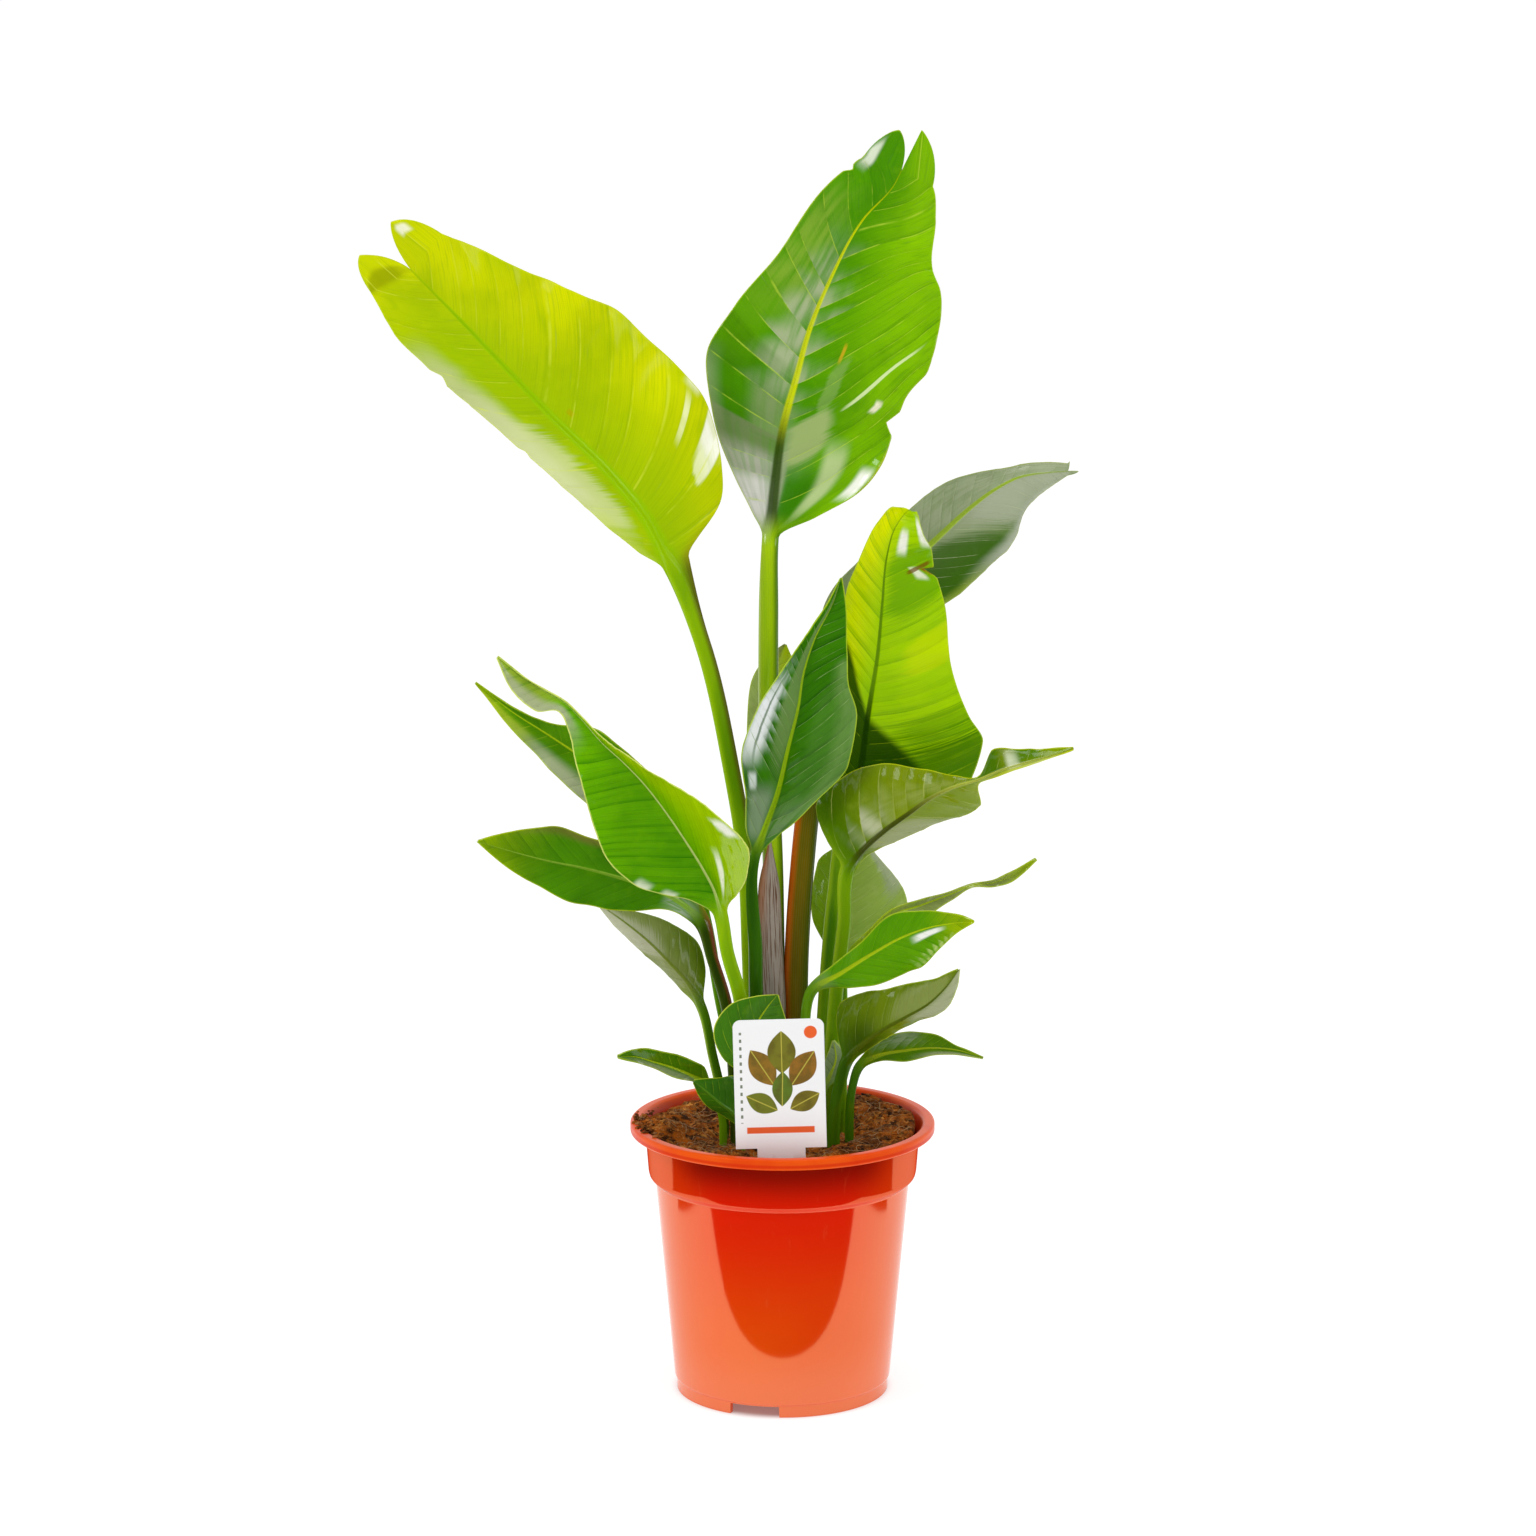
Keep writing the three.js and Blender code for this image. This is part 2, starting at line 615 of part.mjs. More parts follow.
// The soil fills the pot, with a lumpy top that lies below the rim.
function soilGeometry() {
  const points = [];
  const triangles = [];
  const ring = (radiusAt, heightAt) => {
    for (let i = 0; i < POT_SEGMENTS; i++) {
      const turn = (2 * Math.PI * i) / POT_SEGMENTS;
      const [x, y] = [radiusAt * Math.cos(turn), radiusAt * Math.sin(turn)];
      points.push(x, y, heightAt(x, y));
    }
  };
  const bodyTop = SHOULDER - STEP_FALL - 1;
  const collarFloor = SHOULDER + STEP_RISE + 1;
  ring(soilRadius(SOIL_FLOOR), () => SOIL_FLOOR);
  ring(soilRadius(bodyTop), () => bodyTop);
  ring(soilRadius(collarFloor), () => collarFloor);
  for (let r = SOIL_RINGS; r > 0; r--) {
    ring((soilRadius(SOIL_TOP - STEP_FALL) * r) / SOIL_RINGS, soilHeight);
  }
  const rings = points.length / 3 / POT_SEGMENTS;
  const bottom = points.length / 3;
  points.push(0, 0, SOIL_FLOOR, 0, 0, soilHeight(0, 0));
  for (let i = 0; i < POT_SEGMENTS; i++) {
    const next = (i + 1) % POT_SEGMENTS;
    for (let r = 0; r < rings - 1; r++) {
      const [a, b] = [r * POT_SEGMENTS, (r + 1) * POT_SEGMENTS];
      triangles.push(a + i, a + next, b + next, a + i, b + next, b + i);
    }
    const top = (rings - 1) * POT_SEGMENTS;
    triangles.push(bottom, next, i, top + i, top + next, bottom + 1);
  }
  let soil = solidOf(geometryOf(points, triangles));
  for (const leaf of LEAVES) soil = soil.subtract(stalkHole(leaf));
  return geometryFrom(soil.subtract(solidOf(labelGeometry(CLEARANCE))));
}

// The card with round top corners, and its stake down into the soil.
function labelGeometry(grow) {
  const half = LABEL.width / 2 + grow;
  const stake = STAKE.width / 2 + grow;
  const top = LABEL.bottom + LABEL.height + grow;
  const shape = new THREE.Shape();
  shape.moveTo(-stake, STAKE.depth - grow);
  shape.lineTo(stake, STAKE.depth - grow);
  shape.lineTo(stake, LABEL.bottom - grow);
  shape.lineTo(half, LABEL.bottom + 1 - grow);
  shape.lineTo(half, top - LABEL.corner);
  shape.absarc(half - LABEL.corner, top - LABEL.corner, LABEL.corner, 0, Math.PI / 2);
  shape.absarc(-half + LABEL.corner, top - LABEL.corner, LABEL.corner, Math.PI / 2, Math.PI);
  shape.lineTo(-half, LABEL.bottom + 1 - grow);
  shape.lineTo(-stake, LABEL.bottom - grow);
  const depth = LABEL.thickness + 2 * grow;
  const card = new THREE.ExtrudeGeometry(shape, { depth, bevelEnabled: false, curveSegments: 4 });
  card.rotateX(Math.PI / 2);
  const middle = LABEL.bottom + LABEL.height / 2;
  card.translate(0, LABEL.y + depth / 2, -middle);
  card.rotateY(radians(LABEL.lean));
  card.translate(LABEL.x, 0, middle);
  return card;
}

function piece(name, geometry, color, roughness) {
  const material = new THREE.MeshStandardMaterial({ color, roughness, metalness: 0 });
  const mesh = new THREE.Mesh(geometry, material);
  mesh.name = name;
  return mesh;
}

const LEAF_GREEN = 0x5a9416;
const DRY_BROWN = 0x8a7355;

const plant = new THREE.Group();
plant.add(piece("pot", potGeometry(), 0xe8430f, 0.3));
plant.add(piece("soil", soilGeometry(), 0x4a2c16, 0.95));
plant.add(piece("plant_label", labelGeometry(0), 0xf2f2ee, 0.5));
for (const leaf of LEAVES) {
  const color = leaf.name === "dry_sheath" ? DRY_BROWN : LEAF_GREEN;
  plant.add(piece(leaf.name, leafGeometry(leaf), color, 0.35));
}

export default plant;
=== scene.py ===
import random
from math import atan2, ceil, cos, floor, hypot, pi, radians, sin, sqrt

import bpy
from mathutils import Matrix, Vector, noise


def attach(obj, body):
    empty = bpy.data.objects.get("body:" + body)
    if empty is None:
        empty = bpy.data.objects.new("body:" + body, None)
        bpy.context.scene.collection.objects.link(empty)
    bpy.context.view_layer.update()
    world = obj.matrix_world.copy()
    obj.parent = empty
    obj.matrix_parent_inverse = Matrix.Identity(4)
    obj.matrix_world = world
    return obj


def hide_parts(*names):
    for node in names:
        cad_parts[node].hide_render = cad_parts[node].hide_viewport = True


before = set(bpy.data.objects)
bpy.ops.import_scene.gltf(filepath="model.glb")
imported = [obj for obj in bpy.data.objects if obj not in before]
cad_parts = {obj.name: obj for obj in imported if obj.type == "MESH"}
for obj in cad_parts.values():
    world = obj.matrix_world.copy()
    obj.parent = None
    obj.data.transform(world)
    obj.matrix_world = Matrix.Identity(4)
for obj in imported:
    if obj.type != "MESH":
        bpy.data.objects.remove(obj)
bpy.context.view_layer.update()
scene = bpy.context.scene
scene.view_settings.view_transform = "Standard"

# Sizes below are in millimetres, as on a drawing, and turn into metres when a mesh is made.
mm = 0.001


def mix(a, b, share):
    return a + (b - a) * share


def between(value, low, high):
    return min(max((value - low) / (high - low), 0), 1)


def ease(value, low=0, high=1):
    share = between(value, low, high)
    return share * share * (3 - 2 * share)


def srgb(red, green, blue):  # a colour as a picture editor shows it, 0 to 255
    def light(part):
        part = part / 255
        return part / 12.92 if part <= 0.04045 else ((part + 0.055) / 1.055) ** 2.4
    return (light(red), light(green), light(blue), 1)


# Shader maths: a socket that can be used in sums, and one material with its nodes.
class Wire:
    def __init__(self, paint, socket):
        self.paint = paint
        self.socket = socket

    def math(self, operation, *values):  # a Math node on the values, in their order
        return self.paint.node("Math", {"operation": operation}, dict(enumerate(values)))

    def __add__(self, other):
        return self.math("ADD", self, other)

    def __radd__(self, other):
        return self.math("ADD", other, self)

    def __sub__(self, other):
        return self.math("SUBTRACT", self, other)

    def __rsub__(self, other):
        return self.math("SUBTRACT", other, self)

    def __mul__(self, other):
        return self.math("MULTIPLY", self, other)

    def __rmul__(self, other):
        return self.math("MULTIPLY", other, self)

    def __truediv__(self, other):
        return self.math("DIVIDE", self, other)

    def __abs__(self):
        return self.math("ABSOLUTE", self)

    def sine(self):
        return self.math("SINE", self)

    def whole(self):
        return self.math("FLOOR", self)

    def fraction(self):
        return self.math("FRACT", self)

    def sign(self):
        return self.math("SIGN", self)

    def most(self, other):
        return self.math("MAXIMUM", self, other)

    def rise(self, low, high):  # 0 below low, 1 above high, smooth between
        return self.paint.node("MapRange", {"interpolation_type": "SMOOTHSTEP"}, {0: self, 1: low, 2: high})

    def within(self, low, high, soft=0.25):  # 1 between low and high, with soft ends
        soft = soft * (high - low)
        return self.rise(low - soft, low + soft) * (1 - self.rise(high - soft, high + soft))


class Paint:
    def __init__(self, name, kind=bpy.data.materials):
        self.material = kind.new(name)
        self.material.use_nodes = True
        self.tree = self.material.node_tree
        self.shader = self.tree.nodes.get("Principled BSDF") or self.tree.nodes["Background"]

    def node(self, kind, settings={}, values={}, out=0):
        made = self.tree.nodes.new("ShaderNode" + kind)
        for name, value in settings.items():
            setattr(made, name, value)
        for name, value in values.items():
            self.plug(made.inputs[name], value)
        return Wire(self, made.outputs[out])

    def plug(self, socket, value):
        if isinstance(value, Wire):
            self.tree.links.new(value.socket, socket)
        else:
            socket.default_value = value

    def set(self, **values):  # roughness=0.4 sets Roughness, coatWeight=wire links Coat Weight
        names = {name.replace(" ", "").lower(): name for name in self.shader.inputs.keys()}
        for name, value in values.items():
            self.plug(self.shader.inputs[names[name.lower()]], value)

    def read(self, name):  # a value kept on the mesh
        return self.node("Attribute", {"attribute_name": name}, out=2)

    def place(self):  # the spot on the piece, in metres
        return self.node("TexCoord", out=3)

    def parts(self, vector):  # the three numbers of a vector
        split = self.node("SeparateXYZ", values={0: vector}).socket.node
        return [Wire(self, socket) for socket in split.outputs]

    def blend(self, a, b, share):
        return self.node("Mix", {"data_type": "RGBA"}, {0: share, 6: a, 7: b}, out=2)

    def clouds(self, scale, detail=3, stretch=None, rough=0.5):
        spot = self.place()
        if stretch:
            spot = self.node("VectorMath", {"operation": "MULTIPLY"}, {0: spot, 1: stretch})
        values = {"Vector": spot, "Scale": scale, "Detail": detail, "Roughness": rough}
        return self.node("TexNoise", values=values)

    def flatSpot(self, x, y):
        return self.node("CombineXYZ", values={0: x, 1: y})

    def flatClouds(self, x, y, scale=1.0, detail=3):
        values = {"Vector": self.flatSpot(x, y), "Scale": scale, "Detail": detail}
        return self.node("TexNoise", {"noise_dimensions": "2D"}, values)

    def distance(self, x, y):  # how far a spot is from the middle of its plane
        return self.node("VectorMath", {"operation": "LENGTH"}, {0: self.flatSpot(x, y)}, out=1)

    def bump(self, height, distance, strength=1):
        values = {"Height": height, "Distance": distance, "Strength": strength}
        self.set(normal=self.node("Bump", values=values))


# A mesh piece that rides on the plant's one body.
def makePiece(name, points, faces, values={}, replaces=None, smooth=True):
    mesh = bpy.data.meshes.new(name)
    mesh.from_pydata([tuple(c * mm for c in point) for point in points], [], faces)
    mesh.polygons.foreach_set("use_smooth", [smooth] * len(mesh.polygons))
    for key, numbers in values.items():
        mesh.attributes.new(key, "FLOAT", "POINT").data.foreach_set("value", numbers)
    mesh.validate()
    piece = bpy.data.objects.new(name, mesh)
    scene.collection.objects.link(piece)
    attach(piece, "root")
    if replaces:
        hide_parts(replaces)
    return piece


# Studio: white all round, with soft boxes, and a dark room behind the camera that only gloss shows.
# The room is shaped to give the pot the dark middle of the photograph. In other light that is gone.
studio = {
    "camera": (-11.4, -3776, 1246),
    "cameraDrop": 11.17,
    "lens": 116, "sensor": 36,
    "surround": {"seen": 1.0, "gloss": 1.1, "fill": 0.6},
    "floorSize": 400, "floorLevel": -0.0004, "floorGlow": 0.76, "contactShade": (0.074, 0.09),
    "boxes": [
        {"name": "softLeft", "place": (-2.2, -1.5, 2.6), "size": (1.1, 1.5), "power": 30},
        {"name": "softRight", "place": (2.8, -0.9, 2.0), "size": (1.0, 1.6), "power": 16},
        {"name": "softTop", "place": (0.1, -0.3, 3.4), "size": (1.6, 1.0), "power": 24},
    ],
    "aim": (0, 0, 0.5),
    "darkRoom": {
        "near": 0.166, "nearEnd": 0.216, "side": 0.4, "sideBack": 0.1, "sideFront": -1, "reach": 5.5,
        "low": 0.0006, "high": 4.6, "halfAngle": 84, "back": 1.5, "steps": 24,
    },
}


def lookAt(thing, target):
    thing.rotation_mode = "QUATERNION"
    thing.rotation_quaternion = (Vector(target) - thing.location).to_track_quat("-Z", "Y")


def makeStage(name, points, faces, paint):
    mesh = bpy.data.meshes.new(name)
    mesh.from_pydata(points, [], faces)
    mesh.materials.append(paint.material)
    thing = bpy.data.objects.new(name, mesh)
    scene.collection.objects.link(thing)
    return thing


def makeStudio():
    camera = bpy.data.objects.new("camera", bpy.data.cameras.new("camera"))
    camera.location = [c * mm for c in studio["camera"]]
    camera.rotation_euler = (radians(90 - studio["cameraDrop"]), 0, 0)
    camera.data.lens = studio["lens"]
    camera.data.sensor_width = studio["sensor"]
    scene.collection.objects.link(camera)
    scene.camera = camera

    p = Paint("studio", bpy.data.worlds)
    bright = studio["surround"]
    seen, gloss = p.node("LightPath"), p.node("LightPath", out=3)
    more, moreGloss = bright["seen"] - bright["fill"], bright["gloss"] - bright["fill"]
    p.set(color=(1, 1, 1, 1), strength=bright["fill"] + seen * more + gloss * moreGloss)
    scene.world = p.material
    scene.world.cycles.sampling_method = "NONE"  # so the dark room also hides the surround from gloss

    for box in studio["boxes"]:
        lamp = bpy.data.lights.new(box["name"], "AREA")
        lamp.shape = "RECTANGLE"
        lamp.size, lamp.size_y = box["size"]
        lamp.energy = box["power"]
        holder = bpy.data.objects.new(box["name"], lamp)
        holder.location = box["place"]
        lookAt(holder, studio["aim"])
        scene.collection.objects.link(holder)

    half, low = studio["floorSize"] / 2, studio["floorLevel"]
    p = Paint("floor")
    grain = p.clouds(30)
    p.set(baseColor=p.blend(srgb(176, 176, 176), srgb(172, 172, 172), grain), roughness=0.7)
    x, y, _ = p.parts(p.place())
    away = p.distance(x, y)
    glow = p.blend(srgb(150, 120, 116), (1, 1, 1, 1), away.rise(*studio["contactShade"]))
    p.set(specularIORLevel=0, emissionColor=glow, emissionStrength=studio["floorGlow"])
    p.material.cycles.emission_sampling = "NONE"
    corners = [(-half, -half, low), (half, -half, low), (half, half, low), (-half, half, low)]
    makeStage("floor", corners, [(0, 1, 2, 3)], p)

    room = studio["darkRoom"]
    low, steps = room["low"], room["steps"]
    line = [radians(room["halfAngle"] * (2 * k / steps - 1)) for k in range(steps + 1)]
    rings = [[(room["near"] * 1.2 * (2 * k / steps - 1), -room["near"], low) for k in range(steps + 1)]]
    for high in (low, room["high"]):
        rings.append([(room["reach"] * sin(t), -room["reach"] * cos(t), high) for t in line])
    rings.append([(room["reach"] * sin(t), room["back"], room["high"]) for t in line])
    points = [point for ring in rings for point in ring]
    faces = []
    for r in range(len(rings) - 1):
        for k in range(steps):
            a = r * (steps + 1) + k
            faces.append((a, a + 1, a + steps + 2, a + steps + 1))
    for side in (-1, 1):
        near, far = side * room["side"], side * room["reach"]
        first = len(points)
        points += [(near, -room["nearEnd"], low), (near, room["sideBack"], low)]
        points += [(far, room["sideBack"], low), (far, room["sideFront"], low)]
        faces.append(tuple(range(first, first + 4)))
    p = Paint("darkRoom")
    p.set(baseColor=srgb(40, 40, 40), roughness=0.9, specularIORLevel=0)
    dark = makeStage("darkRoom", points, faces, p)
    dark.visible_camera = dark.visible_diffuse = dark.visible_shadow = dark.visible_transmission = False


makeStudio()
print("studio ready")


# Leaves are laid out on an upright drawing plane, as seen from the front, and each point is then
# pushed back or forth along the line of sight.
viewer = {"x": -11.4, "distance": 3776, "height": 1246}
bladeForm = {
    "edge": 0.35,  # half the blade's thickness
    "wave": 1.6, "waveLength": 9,  # the soft waves along the margin
    "spread": (-12, 22), "fineFrom": 20,  # where a stalk opens into its blade, and where rows get close
    "rowStep": 2.6, "stalkStep": 9, "smoothRows": 7,
    "ribHalf": (0.55, 0.6),  # at the base as a share of the stalk, and in mm at the tip
    "ribDepth": (0.85, 0.5, 0.4),  # in the stalk and at the base as shares of it, and in mm at the tip
    "driftLength": 23, "drift": 0.7,  # how unevenly the side veins are spaced
    "swellLength": 16, "swell": 2.5,  # slow ups and downs of the margin
    "sideShift": 40,  # keeps the veins of the two halves from mirroring each other
    "veinUnit": 15,  # a vein number rises by this much from one main side vein to the next
    "lobeSteps": 12, "lobeRound": 0.6,
}

# What a leaf has where its own dictionary doesn't say otherwise. "veinSlope" has the slope of the side
# veins at the base and at the tip, for the left half and then the right. "lobes" are the two tips of a
# split end: how far each runs on, and how far out from the rib it ends.
leafForm = {
    "panel": 15, "panelHeight": 0.7, "veinSlope": (0.6, 1.0, 0.6, 1.0), "veinCurve": (0.002, 0.002),
    "ripple": 1, "nicks": [], "rolls": [], "lobes": None, "look": None, "slot": "leaf",
}


def seen(x, z, depth):
    scale = 1 + depth / viewer["distance"]
    x = viewer["x"] + (x - viewer["x"]) * scale
    z = viewer["height"] + (z - viewer["height"]) * scale
    return Vector((x, depth, z))


# A smooth line through stations, by distance, for the place on the rib and the two widths.
def curveThrough(stations):
    at = [0]
    for before, after in zip(stations, stations[1:]):
        at.append(at[-1] + (after["place"] - before["place"]).length)
    numbers = [[*s["place"], s["left"], s["right"]] for s in stations]
    last = len(stations) - 1

    def slope(i, c):
        return (numbers[i + 1][c] - numbers[i][c]) / (at[i + 1] - at[i])

    def tangent(i, c):
        if i == 0 or i == last:
            return slope(max(i - 1, 0), c)
        before, after = at[i] - at[i - 1], at[i + 1] - at[i]
        low, high = slope(i - 1, c), slope(i, c)
        mean = (low * after + high * before) / (before + after)
        if c < 3:  # the widths, unlike the place, stay between their stations' values
            return mean
        if low * high <= 0:
            return 0
        steepest = 2 * min(abs(low), abs(high))
        return max(-steepest, min(mean, steepest))

    tangents = [[tangent(i, c) for c in range(5)] for i in range(last + 1)]

    def value(i, share):
        span = at[i + 1] - at[i]
        square, cube = share ** 2, share ** 3
        return at[i] + share * span, [
            (2 * cube - 3 * square + 1) * numbers[i][c] + (cube - 2 * square + share) * span * tangents[i][c]
            + (3 * square - 2 * cube) * numbers[i + 1][c] + (cube - square) * span * tangents[i + 1][c]
            for c in range(5)
        ]
    return value, at


def leafRows(leaf):
    stalkCount = len(leaf["stalk"])
    thick, thin = leaf["stalkHalf"]
    stations = []
    for i, spot in enumerate(leaf["stalk"]):
        half = mix(thick, thin, i / stalkCount)
        stations.append({"place": seen(*spot), "left": half, "right": half})
    for x, z, depth, left, right in leaf["blade"]:
        stations.append({"place": seen(x, z, depth), "left": left, "right": right})
    value, at = curveThrough(stations)
    bladeStart, end = at[stalkCount], at[-1]
    rows = []
    for i in range(len(stations) - 1):
        onStalk = at[i + 1] < bladeStart - bladeForm["fineFrom"]
        step = bladeForm["stalkStep"] if onStalk else bladeForm["rowStep"]
        count = max(ceil((at[i + 1] - at[i]) / step), 2)
        for k in range(count + (i == len(stations) - 2)):
            along, numbers = value(i, k / count)
            rows.append({"along": along, "index": i + k / count, "numbers": numbers})
    low, high = bladeForm["spread"]
    for row in rows:
        row["place"] = Vector(row["numbers"][:3])
        row["left"], row["right"] = [max(n, 0.5) for n in row["numbers"][3:]]
        row["flat"] = ease(row["along"], bladeStart + low, bladeStart + high)
        row["run"] = between(row["along"], bladeStart, end)
        row["fromStart"], row["bladeLength"] = row["along"] - bladeStart, end - bladeStart
    for i, row in enumerate(rows):
        reach = min(mix(1, bladeForm["smoothRows"], row["flat"]), i + 1, len(rows) - i)
        ahead, behind = min(i + round(reach), len(rows) - 1), max(i - round(reach), 0)
        row["tangent"] = (rows[ahead]["place"] - rows[behind]["place"]).normalized()
        row["across"] = Vector((row["tangent"].z, 0, -row["tangent"].x)).normalized()
        row["back"] = row["tangent"].cross(row["across"])
    return rows


def nickDepth(leaf, side, run, brown=False):  # small tears: how much of the half is gone
    lost = 0
    for nick in leaf["nicks"]:
        if nick["side"] == side and (nick.get("brown") or not brown):
            reach = max(1 - abs(run - nick["run"]) / nick["size"], 0)
            lost = max(lost, nick["depth"] * reach)
    return lost


def rollAngle(leaf, side, run, share):  # margins that roll over
    angle = 0
    for roll in leaf["rolls"]:
        if roll["side"] == side:
            start, stop = roll["runs"]
            middle, half = (start + stop) / 2, (stop - start) / 2
            angle += roll["turn"] * ease(1 - abs(run - middle) / half) * ease(share, roll["fromShare"], 1)
    return angle


# Half a section, from the rib out to the margin.
def halfSection(leaf, row, side, count):
    one = 0 if side < 0 else 1
    fold, cup = leaf["fold"][one], leaf["cup"][one]
    flat, run = row["flat"], row["run"]
    lost, wound = nickDepth(leaf, side, run), ease(nickDepth(leaf, side, run, True), 0, 0.05)
    spread = (row["left"] if side < 0 else row["right"]) * (1 - lost)
    stem = mix(*leaf["stalkHalf"], between(row["index"], 0, len(leaf["stalk"])))
    wideBase, wideTip = bladeForm["ribHalf"]
    deepStalk, deepBase, deepTip = bladeForm["ribDepth"]
    ribHalf = mix(stem, mix(stem * wideBase, wideTip, run), flat)
    ribDepth = mix(stem * deepStalk, mix(stem * deepBase, deepTip, run), flat)
    upperFront = leaf["fold"][0] + leaf["fold"][1] >= 0

    def turn(share):
        return radians((fold + cup * share + rollAngle(leaf, side, run, share)) * flat)

    shares = []  # columns stand closer at the rib and at the margin
    for k in range(count + 1):
        t = k / count
        shares.append(mix(sin(t * pi / 2), t - sin(2 * pi * t) * 0.085, flat))
    reach = sum((b - a) * cos(turn((a + b) / 2)) for a, b in zip(shares, shares[1:]))
    length = spread / max(reach, 0.3)
    out = front = 0
    lowSlope, highSlope = leaf["veinSlope"][2 * one:2 * one + 2]
    curve, panels, seed = leaf["veinCurve"][one], leaf["panelHeight"], leaf["seed"]
    shift = bladeForm["sideShift"] * (side > 0)
    points = []
    for k, share in enumerate(shares):
        if k:
            step, angle = (share - shares[k - 1]) * length, turn((share + shares[k - 1]) / 2)
            out += step * cos(angle)
            front += step * sin(angle)
        fromRib = share * length
        vein = row["fromStart"] - mix(lowSlope, highSlope, run) * fromRib - curve * fromRib ** 2 + shift
        drift = noise.noise(Vector((vein / bladeForm["driftLength"], side * 3 + seed, 0.5)))
        phase = vein / leaf["panel"] + bladeForm["drift"] * drift
        arch = abs(sin(pi * phase)) ** 0.7
        body = ease(fromRib, ribHalf * 0.8, ribHalf + 10) * (1 - 0.6 * ease(share, 0.8, 1))
        lift = flat * panels * (arch - 0.6) * body
        uneven = noise.noise(Vector((floor(phase) * 3.7, share * 2.2, seed + side)))
        tilt = flat * 0.5 * panels * uneven * body * share * 3
        wave = flat * bladeForm["wave"] * share ** 2 * sin(row["along"] / bladeForm["waveLength"] + side)
        swell = noise.noise(Vector((row["along"] / bladeForm["swellLength"], side * 5, seed)))
        ripple = flat * leaf["ripple"] * share ** 3 * swell * bladeForm["swell"]
        angle = turn(share)
        middle = row["place"] + row["across"] * (side * out) - row["back"] * (front + wave + ripple)
        normal = row["across"] * (side * sin(angle)) + row["back"] * cos(angle)
        sign = -1 if upperFront else 1
        middle = middle + normal * (sign * (lift + tilt))
        edge = bladeForm["edge"]
        inRib = min(fromRib / ribHalf, 1)
        dome = mix(sqrt(1 - inRib ** 2), 0.5 + 0.5 * cos(pi * inRib), flat)
        bulge = max(ribDepth - edge, 0) * dome
        groove = -0.25 * bulge * flat
        upper, under = edge + bulge * (1 - flat) + groove, edge + bulge
        near, far = (upper, under) if upperFront else (under, upper)
        points.append({
            "front": middle - normal * near, "back": middle + normal * far,
            "across": side * share, "fromRib": fromRib / ribHalf, "fromEdge": length - fromRib,
            "vein": phase * bladeForm["veinUnit"], "root": (vein - shift) / row["bladeLength"],
            "run": run, "flat": flat, "along": row["fromStart"],
            "wound": wound * ease(length - fromRib, 5, 0),
        })
    return points


# The split end of a large leaf: each half runs on to a tip of its own, with a notch at the rib.
def lobeSections(leaf, row, section):
    middle, steps = (len(section) - 1) / 2, bladeForm["lobeSteps"]
    made = []
    for step in range(1, steps + 1):
        share = step / steps
        line = []
        for i, point in enumerate(section):
            one = 0 if i < middle else 1
            forward, across = leaf["lobes"][one]
            side, half = (-1, row["left"]) if one == 0 else (1, row["right"])
            out = abs(i - middle) / middle
            rise = 1 - abs(2 * out - 1)
            lift = mix(rise, sin(rise * pi / 2), bladeForm["lobeRound"])
            lean = mix(rise, 1 - cos(rise * pi / 2), bladeForm["lobeRound"])
            wanted = mix(0 if out < 0.5 else half, across, lean)
            start = (point["front"] - row["place"]).dot(row["across"]) * side
            move = row["tangent"] * (forward * lift * share)
            move += row["across"] * (side * (wanted - start) * share)
            moved = dict(point, front=point["front"] + move, back=point["back"] + move)
            moved["fromEdge"] = min(point["fromEdge"], (1 - share) * forward * 0.8 + 0.2)
            moved["fromRib"] = point["fromRib"] + share * 8 * (out > 0)
            moved["run"], moved["root"] = 1 + 0.12 * share, point["root"] + 0.12 * share
            line.append(moved)
        made.append(line)
    return made


def leafFaces(rows, columns):
    def front(r, i):
        return r * 2 * columns + i

    def back(r, i):
        return front(r, i) + columns
    faces = []
    for r in range(rows - 1):
        for i in range(columns - 1):
            faces.append((front(r, i), front(r, i + 1), front(r + 1, i + 1), front(r + 1, i)))
            faces.append((back(r, i), back(r + 1, i), back(r + 1, i + 1), back(r, i + 1)))
        end = columns - 1
        faces.append((back(r, 0), front(r, 0), front(r + 1, 0), back(r + 1, 0)))
        faces.append((front(r, end), back(r, end), back(r + 1, end), front(r + 1, end)))
    last = rows - 1
    for i in range(columns - 1):
        faces.append((front(0, i), back(0, i), back(0, i + 1), front(0, i + 1)))
        faces.append((front(last, i), front(last, i + 1), back(last, i + 1), back(last, i)))
    return faces


